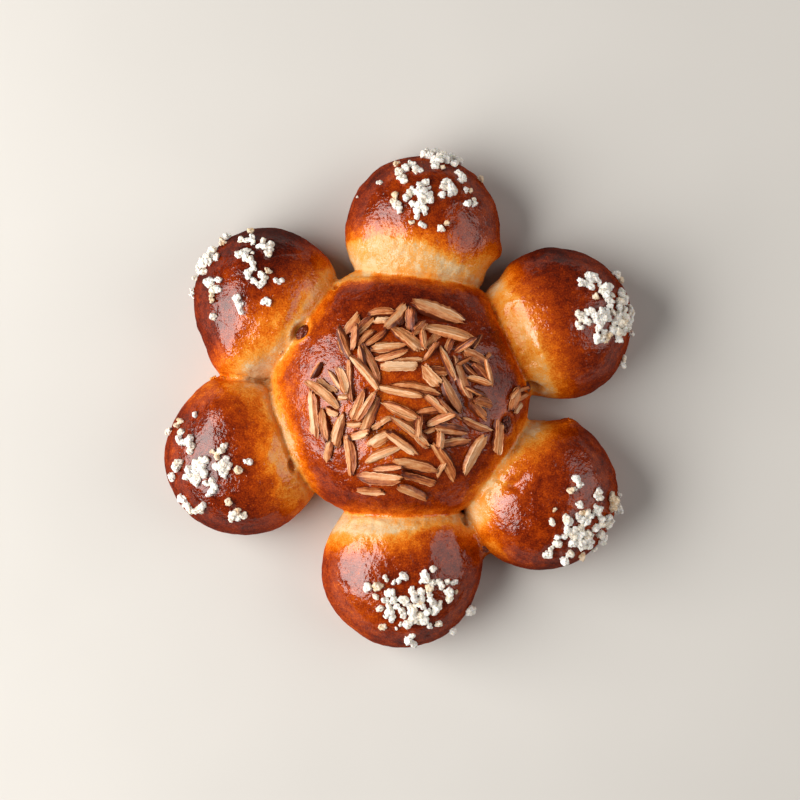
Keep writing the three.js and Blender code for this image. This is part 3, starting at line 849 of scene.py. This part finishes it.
# Grains on each petal: x, y, size. A minus before the size means one that has caramelised.
GRAINS = {
    "north": [
        (11.8, 121.6, 3.8), (15.6, 120, 4), (11, 119, 3.2), (14, 118.8, 3.6), (19.2, 118.2, 3.8),
        (21.9, 117, 3.4), (24.3, 118, 3.2), (26.8, 117.6, 3.2), (28.9, 117, 2.6), (25.4, 115.4, 2.8),
        (16.2, 116.4, 3.6), (16.7, 114.2, 3.2), (18.1, 116, 3.4), (20, 113.8, -2), (-2.8, 115.5, -2.6),
        (5.1, 114.7, 2.8), (1.8, 112.8, 3), (6.7, 112.2, 2.8), (9.1, 112.4, 2.2), (-1.4, 110.9, 2.8),
        (-0.1, 108.7, 2.8), (1.7, 107.3, 2.8), (-11.2, 106.2, 2), (11.8, 106.8, 2.6), (9.4, 104.9, 2.5),
        (13.7, 103.8, 1.7), (3.7, 101.6, 2.5), (5.9, 102.5, 2.8), (8.6, 103, 2.8), (2.1, 98.9, 2.6),
        (3.7, 99.7, 2.3), (9.7, 101.1, 3.8), (12.9, 100, 3.5), (10.8, 97.8, 3.8), (14, 97.6, 2.7),
        (5.3, 96.2, 2.3), (8.6, 95.1, 3.3), (11.3, 93.5, 2.8), (8, 92.4, 3), (7.5, 90.2, 2.5),
        (11.3, 91.6, 2.2), (-3.1, 100, -2.8), (-3.9, 97.3, -2.8), (-2.5, 95.1, 3), (-1.2, 93, 2.8),
        (21.9, 106, 3.3), (20.5, 103.8, 3), (23.8, 103.8, 3.3), (25.4, 102.5, 2.8), (20, 100, 2.5),
        (24, 101.4, 2.8), (28.9, 110, 2.8), (29.2, 107.7, 2.8), (27.6, 111.3, 2), (31.6, 102.5, 2.2),
        (34.1, 102.2, -1.7), (31.9, 95.9, 2.6), (35.7, 95.7, 2.5), (35.4, 98.1, 1.7), (41.4, 109.8, -2.4),
        (10.5, 85.6, 2.4), (4.8, 87, -2), (19.4, 83.7, 2.6), (22.4, 86.2, -2), (-22, 99.2, 1),
    ],
    "north_west": [
        (-95.8, 73.8, 2.8), (-97.1, 71.7, 3.3), (-93.9, 71.4, 3.3), (-94.9, 68.7, 3.6), (-92.2, 68.7, 2.8),
        (-98.2, 69.8, 3.3), (-100.4, 68.1, 3), (-102.5, 66, 2.8), (-100.4, 64.3, 3), (-97.7, 65.4, 3.4),
        (-98.5, 61.9, 2.8), (-101.5, 62.2, 2.4), (-95.8, 66.3, 2.8), (-87.1, 79, 2.8), (-89.2, 76, -3.2),
        (-80, 77.6, 2.5), (-77.3, 77.1, 2.5), (-74.9, 78.2, 2.5), (-74.6, 76.3, 2.2), (-75.4, 81.4, -2.4),
        (-70.8, 74.4, 2.5), (-69.5, 76.3, 2.5), (-68.6, 73.8, 2.8), (-65.9, 75.2, 2.8), (-67, 71.4, 3),
        (-66, 73.2, 2.4), (-81.4, 70.3, 2.8), (-78.7, 71.1, 2.8), (-77.3, 71.9, 2.5), (-78.1, 68.7, 2.5),
        (-75.4, 67.6, 2.8), (-74.6, 65.4, 2.8), (-74.1, 63.3, 2.5), (-76.5, 61.6, 2.8), (-76.5, 59.5, 2.5),
        (-74.3, 57.8, 2.5), (-67, 62.2, -2.5), (-70.5, 60.3, 2.5), (-68.6, 59.2, 2.3), (-69.5, 56.8, 2.5),
        (-71.6, 55.4, 2.5), (-62.8, 57.4, 2.3), (-60.8, 57.2, 2.5), (-96.8, 57, 2.5), (-94.9, 56.8, 3),
        (-91.4, 57.6, 2.8), (-96, 55.1, 2.5), (-93, 53, 3.6), (-91.1, 53, 2.2), (-94.1, 47.8, -2.3),
        (-94.6, 49.6, -2), (-81.9, 48.9, 3), (-81.1, 46.2, 2.4), (-80.6, 42.1, 2.3), (-81.4, 43.6, 1.6),
        (-68.6, 47.2, 2.6), (-66.8, 46.6, 2.6), (-93.9, 39.7, 2.6), (-104.7, 59.2, 2.2), (-105.2, 53, 2),
        (-105, 50.2, 2.2), (-74.9, 71.1, 1.4),
    ],
    "south_west": [
        (-103.1, -9.2, 2.3), (-109.9, -12.8, -2.2), (-111.5, -15.2, -2.2), (-109.6, -17.9, 2.5),
        (-116.7, -17.9, 2.8), (-111, -22, 2.5), (-108.8, -23.9, 2.8), (-105.8, -22.8, 3.3),
        (-104.7, -25, 3.3), (-105.8, -27.4, 2.8), (-111, -33.6, 4.2), (-111.8, -35.6, 3.2),
        (-114.2, -40.1, 2.8), (-102.8, -33.4, 3), (-100.1, -32.3, 3), (-97.4, -32, 3), (-99.3, -35.3, 3.8),
        (-105.3, -36.9, 3.6), (-102.3, -36.9, 3.8), (-98.2, -39.1, 3), (-105.8, -39.9, 3.3),
        (-102.6, -40.7, 3.6), (-102.3, -43.4, 2.8), (-88.7, -24.7, 2.6), (-94.4, -27.7, -2),
        (-90.6, -27.7, 3), (-92.3, -30.4, -2.5), (-87.9, -31.5, 2.8), (-89.8, -33.6, 3.3),
        (-86.6, -34.7, 2.8), (-92.3, -35.3, 2.8), (-89.5, -36.9, 3.3), (-89.3, -39.3, 2.5),
        (-97.7, -43.4, 2.2), (-95, -42.6, 2.5), (-93.6, -44.8, 2.5), (-94.7, -46.9, 2.3),
        (-96.1, -48.8, 2), (-78, -32.4, 2), (-76.6, -32.7, 2.4), (-81.4, -36.6, -3.4), (-108.8, -51.5, 3.4),
        (-107.2, -53.4, 2.6), (-105.3, -55.9, 3), (-103.1, -57, 2.5), (-100.1, -55.6, 3.3),
        (-99.3, -54, 2.8), (-109.6, -49.9, 2.3), (-86.3, -52.3, -2.7), (-84.1, -57.5, 2.9),
        (-84.7, -59.9, 2.8), (-82, -60.2, 2.6), (-79.8, -59.1, 3), (-82.3, -57.2, -2.2),
    ],
    "south": [
        (15.1, -86.3, 2.3), (11.5, -90.2, 4.2), (9.8, -92.4, 1.8), (1.1, -89.7, 3), (-8.1, -91.1, 2.5),
        (-4.2, -93, 2), (-1.6, -92.4, 2), (-17.3, -95.5, 3.3), (-11.7, -95.2, -3.5), (-5.8, -98.3, 3.6),
        (-13.1, -100.3, 2.6), (-8.3, -101.7, 2.8), (-10.6, -105.6, 2.6), (4.5, -96.1, 2), (5.6, -98.6, 2.8),
        (5.9, -100.8, 3.3), (-3.6, -101.9, 2.8), (1.1, -101.7, 3.3), (2.8, -103.3, 2.8),
        (-6.4, -104.7, 2.6),
        (-5.6, -107.5, 3.3), (-5, -110.6, 3), (-2.5, -104.7, 2.3), (-0.5, -106.4, 3), (0.6, -108.9, 2.8),
        (5.6, -105.3, 3.3), (5.1, -107.5, 3.3), (5.6, -110.3, 3.3), (10.1, -110.9, 3.8), (8.4, -109, 2.8),
        (2.8, -113.7, 3.3), (3.9, -111.8, 2.8), (9, -103.1, -3.2), (9.8, -104.7, 3), (10.1, -100.8, 2.5),
        (14, -101.9, 3.3), (15.7, -103.6, 3), (16.8, -105.8, 3.3), (18.4, -103.6, 2.5), (15.7, -107.5, 2.8),
        (12.3, -107.5, 2.6), (-0.5, -113.7, 1.5), (-8.1, -110.3, 1.7), (-9.7, -115, -2.5),
        (-3, -116.2, 1.5), (9.5, -97.5, 2.6), (13.7, -96.4, -3.3), (13.4, -98.9, 2), (15.7, -93, 2.5),
        (18.2, -93, 2.6), (19.3, -95.2, 2.4), (22.3, -92.4, 2.2), (24.6, -93.3, 2.4), (26.3, -93, 2.2),
        (22.4, -97.5, 3.5), (22.9, -100.8, 2.8), (26.5, -97.5, -2), (33.2, -106.7, 4), (24.9, -117, 2.5),
        (18.2, -113.1, 2.8), (13.4, -114.5, 2), (8.4, -113.1, 1.7), (3.4, -121.2, 3.3), (4.5, -119.5, 2.6),
        (5.6, -123.1, 3),
    ],
    "south_east": [
        (86.8, -42, 3.2), (88.9, -44.4, 2.5), (84.6, -47.4, -3), (88.4, -53.9, 2.7), (97.6, -47.9, 2.8),
        (97.9, -50.4, 3), (96.2, -49.8, 2.2), (104.2, -50.2, -3.4), (104.8, -53, -3.8), (104.4, -55.6, -3),
        (108.4, -49.3, 2), (108.7, -56.9, 4), (107.6, -55.3, 2.8), (81.9, -61.2, 3.5), (83.5, -63.1, 2.6),
        (82.4, -65.8, 3), (84, -67.2, 2.6), (89.2, -58.2, -2.2), (87.6, -59.9, 2.5), (89.2, -61.2, 2.8),
        (91.4, -62.9, 3.3), (92.2, -58.5, 2.8), (93.3, -59.6, 2.4), (96.5, -55.3, 2.3), (97.3, -57.4, 3.2),
        (98.4, -55.8, 2.4), (96.2, -58, 2.4), (99, -61.2, 3.3), (101.7, -61.2, 3.3), (98.4, -63.9, 3),
        (101.7, -63.9, 3), (103.8, -62.3, 2.3), (95.7, -65.6, 2.8), (85.9, -66.7, 2.8), (88.7, -65.6, 2.8),
        (85.4, -69.4, 3.3), (88.7, -68.8, 3.3), (91.9, -68.3, 3.3), (93.5, -69.9, 2.8), (85.4, -72.6, 3.3),
        (88.7, -72.1, 3.5), (91.4, -71.5, 3.3), (94.1, -72.1, 2.8), (88.7, -75.3, 2.3), (84.3, -73.7, 2.4),
        (81.1, -69.9, 2.3), (90.8, -74.8, 2.2), (98.4, -68.3, 3.2), (100, -69.9, 2.8), (99, -72.1, 2.8),
        (95.7, -76.1, 1.8), (93, -74.2, 2.5), (77.3, -70.2, 2), (77, -73.2, 3.4), (73.2, -77.8, 3.4),
        (74, -75.9, 2), (83.8, -78, 2.8), (84.9, -79.4, 1.8), (80.8, -81, 3.2), (89.4, -79.6, -3.2),
        (75.1, -62.9, 2.5), (76.2, -56.9, -1.8), (87, -47.1, 1.2),
    ],
    "north_east": [
        (92.9, 59.8, 2.8), (95, 59.6, 3.2), (93.7, 57.5, 2.8), (94, 54.8, 2.8), (96.9, 57.5, 2.4),
        (89, 57.7, 2), (89, 55.4, 2.2), (90.8, 56.2, 2.3), (98.5, 55.9, 2), (100.3, 53.3, 3.8),
        (103.7, 54, 3), (101.1, 50.6, 3.2), (99.3, 51.7, 2.4), (103.7, 47.5, 2.8), (104.3, 50.1, 2.3),
        (96.4, 49.6, -2.4), (102.2, 48.5, 2.4), (106.6, 60.9, 3), (108.7, 57.5, -2.4), (107.9, 59.4, 2.5),
        (109.3, 51.7, 3.2), (108.5, 50.1, 2.6), (110.1, 47.5, 3), (107.9, 46.4, 3), (111.1, 48.5, 2.2),
        (103.2, 44.6, 2.5), (92.7, 41.7, 2.8), (94.8, 42.2, 2.8), (92.7, 37.5, 3.2), (91.6, 39.1, 2.5),
        (95.8, 39.6, 3.3), (98.5, 41.7, 3.3), (101.1, 41.7, 3), (99.5, 39.1, 3.5), (102.7, 39.1, 2.8),
        (98.5, 35.9, 3.3), (97.9, 33.8, 2.8), (100.6, 32.7, 2.2), (96.9, 37.5, 2.8), (107.4, 44.3, 2.8),
        (112.7, 43.8, 3), (113.7, 41.2, 2.7), (110.1, 42.2, 3.3), (107.4, 40.1, 3.3), (104.8, 41.7, 2.5),
        (110.1, 39.1, 3.3), (112.7, 38.5, 3), (105.3, 36.9, 2.8), (108.5, 36.4, 3.3), (111.6, 35.9, 3),
        (110.1, 33.8, 3), (106.9, 32.7, 3.3), (112.2, 33.8, 2.5), (104.8, 33.8, 2.8), (104.3, 32.2, 2.4),
        (109, 31.2, 3), (107.9, 28, 2.8), (107.4, 30.1, 2.5), (113.5, 31.2, 2.2), (102.7, 30.6, -2.5),
        (88.7, 40.1, 2.8), (87.9, 41.2, 2.2), (89.5, 38.5, 2.2), (87.9, 35.9, 2), (88.7, 34.1, 2),
        (96.6, 29.6, 2.8), (96.9, 27.7, 2.2), (99.3, 29.6, 2.5), (99.3, 27.7, 2), (101.6, 28, -2),
        (111.4, 18, 2.5), (110.1, 15.4, 2.8),
    ],
}
SUGAR_GRID = 0.34 * MM
# The lumps that grains are shaped from: how many, the flat sides cut on each, how far from the
# middle a side may lie, and the lump's radius as a share of the grain's size.
GRAIN_SHAPES = 5
GRAIN_SIDES = 8
SIDE_REACH = (0.48, 0.78)
GRAIN_RADIUS = 0.82
# How far a grain may be squashed or drawn out along each of its axes, and how far its middle
# stands out of the crust, as a share of its radius.
GRAIN_SQUASH = ((0.9, 1.15), (0.8, 1.05), (0.75, 1.0))
GRAIN_STANDS = (0.3, 0.65)
# How caramelised a white grain may be, and how much the others are.
GRAIN_TINTS = (0, 0, 0.05, 0.12, 0.25)
CARAMEL_TINT = 0.5
# Grains past a petal's widest line stick to its side, this far above that line.
STICKS_ABOVE_BELLY = 6
# The crystals on a grain: how far across their faces are, and how far they stand out.
CRYSTAL_SIZE = 1.7
CRYSTAL_RELIEF = 0.62


def grain_blanks():
    """A few uneven lumps, one unit in radius, with flattened sides."""
    draw = random.Random(5)
    blanks = []
    for index in range(GRAIN_SHAPES):
        start_piece()
        bpy.ops.mesh.primitive_ico_sphere_add(subdivisions=3, radius=1)
        blank = name_active(f"grain_blank_{index}")
        points = points_of(blank)
        for _ in range(GRAIN_SIDES):
            way = np.array([draw.gauss(0, 1) for _ in range(3)])
            way /= np.linalg.norm(way)
            reach = points @ way
            limit = draw.uniform(*SIDE_REACH)
            points -= np.maximum(reach - limit, 0)[:, None] * way
        points *= 1 + 0.08 * noise_over(points, 0.7, 20 + index, 2)[:, None]
        move_points(blank, points)
        blanks.append(blank)
    return blanks


def crystal_faces(points):
    """A relief of flat crystal faces, each tilted its own way."""
    relief = []
    for point in points:
        place = Vector(point) / CRYSTAL_SIZE
        middle = noise.voronoi(place)[1][0]
        tilt = noise.cell_vector(middle * 7.3)
        relief.append(max(-0.5, min(0.5, (place - middle).dot(tilt) * 1.6)))
    return np.array(relief)


def raise_relief(piece, points, relief):
    """Moves a piece's points outwards by a relief in millimetres, and shades it smooth."""
    move_points(piece, points + relief[:, None] * MM * normals_of(piece))
    smooth_faces(piece)


def make_sugar(petal, blanks, surface, material, draw):
    """The grains on one petal, grown together where they touch."""
    grains, middles, tints = [], [], []
    rim_height = (PETALS[petal]["belly"] + STICKS_ABOVE_BELLY) * MM
    for x, y, size in GRAINS[petal]:
        point, outward = surface.below(*surface.place_below(x, y), rim_height)
        radius = abs(size) * GRAIN_RADIUS
        grain = copy_piece(draw.choice(blanks), "grain")
        turn = Matrix.Rotation(draw.uniform(0, math.tau), 4, "X")
        turn = turn @ Matrix.Rotation(draw.uniform(0, 3), 4, "Z")
        squash = Matrix.Diagonal((*(radius * draw.uniform(*limits) for limits in GRAIN_SQUASH), 1))
        squash = Matrix.Scale(MM, 4) @ Matrix.Rotation(draw.uniform(0, 3), 4, "Z") @ squash
        middle = point + outward * radius * draw.uniform(*GRAIN_STANDS) * MM
        grain.data.transform(Matrix.Translation(middle) @ squash @ turn)
        grains.append(grain)
        middles.append(np.array(middle))
        tints.append(CARAMEL_TINT if size < 0 else draw.choice(GRAIN_TINTS))
    sugar = join_under_skin(grains, f"sugar_on_{petal}", SUGAR_GRID)
    points = points_of(sugar)
    relief = 0.24 * noise_over(points / MM, 1.2, 31, 2) + CRYSTAL_RELIEF * crystal_faces(points / MM)
    raise_relief(sugar, points, relief)
    patches = 0.14 * noise_over(points / MM, 2.5, 33, 2)
    paint(sugar, "caramel", np.clip(value_of_nearest(points, middles, tints) + patches, 0, 1))
    nodes = [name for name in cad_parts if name.rsplit("_", 1)[0] == f"sugar_{petal}"]
    finish_piece(sugar, material, nodes)


# ---------- crumbs of torn dough ----------

# Ragged crumbs at the seams: x, y, size, how far up a ball's side, how brown.
CRUMBS = [
    (-95.2, 10.6, 4.8, 20, 0.2), (-93.4, 8.8, 3.2, 16, 0.3), (-60.6, 21.8, 2.8, 30, 0.06),
    (84, -12.4, 3.6, 24, 0.6), (55.6, -28.4, 2.6, 30, 0.1),
]
CRUMB_GRID = 0.3 * MM
# The lumps in each crumb: how many, how far from its middle and how large, as shares of its size.
CRUMB_LUMPS = 4
CRUMB_SPREAD = 0.32
CRUMB_LUMP_RADIUS = (0.18, 0.34)


def make_crumbs(blanks, surface, material, draw):
    """Each crumb is a few flattened lumps stuck together."""
    lumps, middles, browns = [], [], []
    for x, y, size, level, brown in CRUMBS:
        point, outward = surface.below(*surface.place_below(x, y), level * MM)
        lie = outward.to_track_quat("Z", "Y").to_matrix().to_4x4()
        for _ in range(CRUMB_LUMPS):
            lump = copy_piece(draw.choice(blanks), "lump")
            aside = [draw.uniform(-CRUMB_SPREAD, CRUMB_SPREAD) for _ in range(2)]
            aside = Vector((*aside, 0.1)) * size * MM
            radius = draw.uniform(*CRUMB_LUMP_RADIUS) * size * MM
            flat = Matrix.Diagonal((radius, radius * draw.uniform(0.5, 0.9), radius * 0.6, 1))
            turn = Matrix.Rotation(draw.uniform(0, math.tau), 4, "Z")
            place = Matrix.Translation(point) @ lie @ Matrix.Translation(aside)
            lump.data.transform(place @ turn @ flat)
            lumps.append(lump)
            middles.append(np.array(point))
            browns.append(brown + draw.uniform(-0.06, 0.06))
    piece = join_under_skin(lumps, "torn_crumbs", CRUMB_GRID)
    points = points_of(piece)
    raise_relief(piece, points, 0.35 * noise_over(points / MM, 1.1, 51, 2))
    paint(piece, "browning", np.clip(value_of_nearest(points, middles, browns), 0, 1))
    finish_piece(piece, material)


# ---------- raisins ----------


def make_raisin(node, material):
    """A wrinkled raisin of the size and slant of its solid in the frame."""
    corners = points_of(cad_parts[node])
    middle = (corners.max(0) + corners.min(0)) / 2
    ways = np.linalg.svd(corners - corners.mean(0), full_matrices=False)[2]
    half = [np.ptp((corners - middle) @ way) / 2 for way in ways]
    start_piece()
    bpy.ops.mesh.primitive_ico_sphere_add(subdivisions=5, radius=1)
    piece = name_active(node.replace("raisin", "wrinkled_raisin"))
    points = points_of(piece)
    folds = np.abs(noise_over(points * np.array([0.7, 1.3, 1.3]), 0.55, 41, 3))
    points *= (1.02 - 0.3 * (1 - np.minimum(folds * 3.2, 1)) ** 2)[:, None]
    points *= 1 + 0.06 * noise_over(points, 0.9, 43, 2)[:, None]
    move_points(piece, middle + (points * half) @ ways)
    smooth_faces(piece)
    finish_piece(piece, material, [node])


# ---------- materials ----------


def new_material(name):
    """An empty material, and the short ways to add its nodes."""
    material = bpy.data.materials.new(name)
    material.use_nodes = True
    material.node_tree.nodes.clear()
    return material, Nodes(material.node_tree)


class Nodes:
    """Short ways to add nodes to a material and join them up."""

    def __init__(self, tree):
        self.tree = tree

    def add(self, kind, inputs=None, **settings):
        node = self.tree.nodes.new(kind)
        for key, value in settings.items():
            setattr(node, key, value)
        for key, value in (inputs or {}).items():
            self.put(node.inputs[key], value)
        return node

    def put(self, socket, value):
        if isinstance(value, bpy.types.NodeSocket):
            self.tree.links.new(value, socket)
        else:
            socket.default_value = value

    def attribute(self, name, output="Fac"):
        return self.add("ShaderNodeAttribute", attribute_name=name).outputs[output]

    def place(self):
        return self.add("ShaderNodeTexCoord").outputs["Object"]

    def noise(self, place, size, detail, rough=0.55):
        inputs = {"Vector": place, "Scale": 1 / size, "Detail": detail, "Roughness": rough}
        return self.add("ShaderNodeTexNoise", inputs).outputs["Fac"]

    def cells(self, place, size):
        inputs = {"Vector": place, "Scale": 1 / size}
        return self.add("ShaderNodeTexVoronoi", inputs, feature="F1").outputs["Distance"]

    def spots(self, place, size, middle, edge):
        """1 in small round spots, 0 between them."""
        return self.remap(self.cells(place, size), middle, edge, 1, 0)

    def math(self, operation, one, other, clamp=False):
        node = self.add("ShaderNodeMath", operation=operation, use_clamp=clamp)
        self.put(node.inputs[0], one)
        self.put(node.inputs[1], other)
        return node.outputs[0]

    def plus(self, one, other, clamp=False):
        return self.math("ADD", one, other, clamp)

    def times(self, one, other):
        return self.math("MULTIPLY", one, other)

    def remap(self, value, low, high, to_low=0.0, to_high=1.0):
        inputs = {"Value": value, "From Min": low, "From Max": high, "To Min": to_low, "To Max": to_high}
        return self.add("ShaderNodeMapRange", inputs).outputs["Result"]

    def ramp(self, value, stops):
        node = self.add("ShaderNodeValToRGB", {"Fac": value})
        node.color_ramp.interpolation = "LINEAR"
        elements = node.color_ramp.elements
        while len(elements) < len(stops):
            elements.new(0.5)
        for element, (position, colour) in zip(elements, stops):
            element.position = position
            element.color = (*linear(colour), 1)
        return node.outputs["Color"]

    def mix(self, share, one, other, blend="MIX"):
        node = self.add("ShaderNodeMix", data_type="RGBA", blend_type=blend)
        self.put(node.inputs["Factor"], share)
        for socket, value in ((node.inputs[6], one), (node.inputs[7], other)):
            self.put(socket, (*linear(value), 1) if isinstance(value, tuple) else value)
        return node.outputs[2]

    def bump(self, height, distance, normal=None):
        inputs = {"Height": height, "Distance": distance, "Strength": 1.0}
        if normal is not None:
            inputs["Normal"] = normal
        return self.add("ShaderNodeBump", inputs).outputs["Normal"]

    def finish(self, **inputs):
        named = {key.replace("_", " "): value for key, value in inputs.items()}
        shader = self.add("ShaderNodeBsdfPrincipled", named)
        output = self.add("ShaderNodeOutputMaterial")
        self.tree.links.new(shader.outputs["BSDF"], output.inputs["Surface"])


def linear(colour):
    """A colour of 0 to 255 as seen on a screen, in the linear values that shaders take."""
    return tuple((c / 255) ** 2.2 for c in colour)


# Dough from pale to darkest: how brown, and its colour.
CRUST_STOPS = [
    (0.0, (214, 186, 144)),
    (0.14, (218, 158, 90)),
    (0.3, (226, 142, 50)),
    (0.46, (208, 100, 18)),
    (0.64, (162, 62, 10)),
    (0.82, (116, 37, 7)),
    (1.0, (66, 18, 5)),
]
FLOUR_STOPS = [(0.35, (150, 92, 40)), (0.6, (205, 158, 96))]
# The warm tint of the painted glow of bounced light along the seams.
PAINTED_SEAM_GLOW_TINT = (255, 230, 184)


def crust_material():
    """Baked dough under an egg glaze, which is a clear coat left off the seams and the base."""
    material, n = new_material("glazed crust")
    place = n.place()
    brown = n.attribute("browning")
    under = n.attribute("underside")
    mottle = n.remap(n.noise(place, 4 * MM, 5, 0.65), 0.3, 0.7, -0.1, 0.1)
    grain = n.remap(n.noise(place, 0.7 * MM, 3, 0.6), 0.3, 0.7, -0.12, 0.12)
    blister_patches = n.remap(n.noise(place, 9 * MM, 2), 0.42, 0.6)
    blisters = n.times(n.spots(place, 2.1 * MM, 0.1, 0.24), blister_patches)
    pinhole_patches = n.remap(n.noise(place, 5 * MM, 2), 0.4, 0.62)
    pinholes = n.times(n.spots(place, 1.3 * MM, 0.1, 0.22), pinhole_patches)
    shade = n.plus(n.plus(brown, mottle), grain)
    shade = n.plus(shade, n.times(blisters, n.remap(brown, 0.25, 0.6, 0, -0.16)))
    shade = n.plus(shade, n.times(pinholes, -0.18), clamp=True)
    colour = n.ramp(shade, CRUST_STOPS)
    # Painted light: the seams' dough is tinted warmer, standing for light bounced between the balls.
    colour = n.mix(n.times(n.attribute("painted_seam_glow"), 0.6), colour, PAINTED_SEAM_GLOW_TINT, "MULTIPLY")
    colour = n.mix(under, colour, n.ramp(n.noise(place, 5 * MM, 4, 0.7), FLOUR_STOPS))
    glazed = n.times(n.remap(brown, 0.04, 0.26), n.math("SUBTRACT", 1.0, under))
    brushed = n.times(glazed, n.remap(n.attribute("glaze"), 0, 2, 0.16, 1.84))
    ripples = n.bump(n.noise(place, 3.2 * MM, 2, 0.5), 0.34 * MM)
    peel = n.bump(n.noise(place, 1.5 * MM, 2, 0.5), 0.26 * MM, ripples)
    raised = n.bump(blisters, 0.05 * MM, peel)
    n.finish(
        Base_Color=colour, Roughness=n.remap(glazed, 0, 1, 0.6, 0.42), Normal=raised,
        Specular_IOR_Level=0.0, Coat_Weight=n.remap(brushed, 0, 2, 0.03, 0.5),
        Coat_Roughness=0.1, Coat_IOR=2.4, Coat_Normal=raised,
    )
    return material


# Almond from pale to most toasted.
ALMOND_STOPS = [
    (0.0, (230, 187, 147)),
    (0.35, (213, 150, 99)),
    (0.6, (190, 111, 60)),
    (0.85, (142, 67, 28)),
    (1.0, (90, 36, 13)),
]


def almond_material():
    """Toasted almond, with fibres that run along each sliver."""
    material, n = new_material("toasted almond")
    local = n.attribute("grain_place", "Vector")
    drawn_out = {"Vector": local, "Scale": (0.14, 1, 1)}
    fibre = n.noise(n.add("ShaderNodeMapping", drawn_out).outputs["Vector"], 0.8 * MM, 4, 0.65)
    cloud = n.noise(local, 3 * MM, 3, 0.6)
    speck = n.noise(local, 0.5 * MM, 2, 0.5)
    shade = n.plus(n.attribute("toast"), n.remap(fibre, 0.32, 0.68, -0.2, 0.2))
    shade = n.plus(shade, n.remap(cloud, 0.3, 0.7, -0.1, 0.1))
    shade = n.plus(shade, n.remap(speck, 0.35, 0.65, -0.04, 0.04), clamp=True)
    ridges = n.bump(fibre, 0.22 * MM)
    n.finish(
        Base_Color=n.ramp(shade, ALMOND_STOPS), Roughness=n.remap(cloud, 0.3, 0.7, 0.38, 0.54),
        Normal=n.bump(speck, 0.05 * MM, ridges),
    )
    return material


# Pearl sugar from white to caramelised.
SUGAR_STOPS = [
    (0.0, (243, 239, 232)),
    (0.3, (238, 226, 208)),
    (0.65, (220, 184, 138)),
    (1.0, (184, 128, 76)),
]


def sugar_material():
    """White sugar that light enters a little way, with a rough face."""
    material, n = new_material("pearl sugar")
    place = n.place()
    clouds = n.remap(n.noise(place, 2.6 * MM, 2, 0.5), 0.4, 0.7, -0.08, 0.12)
    shade = n.plus(n.attribute("caramel"), clouds, clamp=True)
    n.finish(
        Base_Color=n.ramp(shade, SUGAR_STOPS), Roughness=0.5,
        Normal=n.bump(n.noise(place, 0.7 * MM, 4, 0.7), 0.2 * MM),
        Subsurface_Weight=0.35, Subsurface_Radius=(1.2, 1.0, 0.8), Subsurface_Scale=0.8 * MM,
    )
    return material


RAISIN_STOPS = [(0.3, (62, 22, 11)), (0.55, (116, 45, 21)), (0.75, (160, 78, 40))]


def raisin_material():
    """Dark wrinkled skin, paler and duller where its bloom is left."""
    material, n = new_material("raisin skin")
    place = n.place()
    bloom = n.noise(place, 2.2 * MM, 3, 0.6)
    n.finish(
        Base_Color=n.ramp(bloom, RAISIN_STOPS), Roughness=n.remap(bloom, 0.3, 0.7, 0.22, 0.42),
        Normal=n.bump(n.noise(place, 0.9 * MM, 3, 0.6), 0.12 * MM),
    )
    return material


TABLE_STOPS = [(0.3, (201, 198, 193)), (0.7, (207, 204, 199))]


def table_material():
    """A plain pale table top, very slightly clouded."""
    material, n = new_material("pale table")
    n.finish(Base_Color=n.ramp(n.noise(n.place(), 0.25, 3), TABLE_STOPS), Roughness=0.8)
    return material


# ---------- table, lights and camera ----------

TABLE_WIDTH = 6
BELOW_THE_CAKE = -0.0002
# Each soft light: where it stands, its width and depth, power and colour.
SOFT_LIGHTS = {
    "key": ((-1.02, -0.1, 0.86), (1.75, 1.25), 36, (1, 0.975, 0.94)),
    "fill": ((1.05, 0.05, 0.7), (1.25, 1.25), 6.6, (1, 0.96, 0.92)),
}
LIT_PLACE = Vector((0, 0, 0.03))
ROOM_LIGHT = 0.08


def make_table():
    start_piece()
    bpy.ops.mesh.primitive_plane_add(size=TABLE_WIDTH, location=(0, 0, BELOW_THE_CAKE))
    table = name_active("table")
    table.data.materials.append(table_material())


def soft_light(name, where, size, power, colour):
    """A round soft light that faces the cake."""
    data = bpy.data.lights.new(name, "AREA")
    data.shape = "ELLIPSE"
    data.size, data.size_y = size
    data.energy = power
    data.color = colour
    lamp = bpy.data.objects.new(name, data)
    lamp.location = where
    aim = LIT_PLACE - Vector(where)
    lamp.rotation_euler = aim.to_track_quat("-Z", "Y").to_euler()
    bpy.context.scene.collection.objects.link(lamp)


def make_camera():
    """A camera straight above, that sees the view's width at the view level."""
    data = bpy.data.cameras.new("overhead")
    data.sensor_width = CAMERA_SENSOR
    data.lens = CAMERA_SENSOR * (CAMERA_HEIGHT - VIEW_LEVEL) / VIEW_WIDTH
    data.clip_start = 0.01
    camera = bpy.data.objects.new("overhead", data)
    camera.location = (*VIEW_MIDDLE, CAMERA_HEIGHT)
    bpy.context.scene.collection.objects.link(camera)
    bpy.context.scene.camera = camera


def make_studio():
    make_table()
    for name, light in SOFT_LIGHTS.items():
        soft_light(name, *light)
    world = bpy.data.worlds.new("studio")
    world.use_nodes = True
    background = world.node_tree.nodes["Background"]
    background.inputs["Color"].default_value = (1, 1, 1, 1)
    background.inputs["Strength"].default_value = ROOM_LIGHT
    bpy.context.scene.world = world
    bpy.context.scene.view_settings.view_transform = "Standard"


# ---------- the cake ----------

make_camera()
make_studio()

crust = crust_material()
loaf = make_loaf()
finish_piece(loaf, crust, ["bread"])

surface = Surface(loaf)
make_slivers(surface, almond_material())

blanks = grain_blanks()
sugar = sugar_material()
draw = random.Random(8)
for petal in PETALS:
    make_sugar(petal, blanks, surface, sugar, draw)
make_crumbs(blanks, surface, crust, draw)
for blank in blanks:
    bpy.data.objects.remove(blank)

raisin = raisin_material()
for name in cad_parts:
    if name.startswith("raisin"):
        make_raisin(name, raisin)
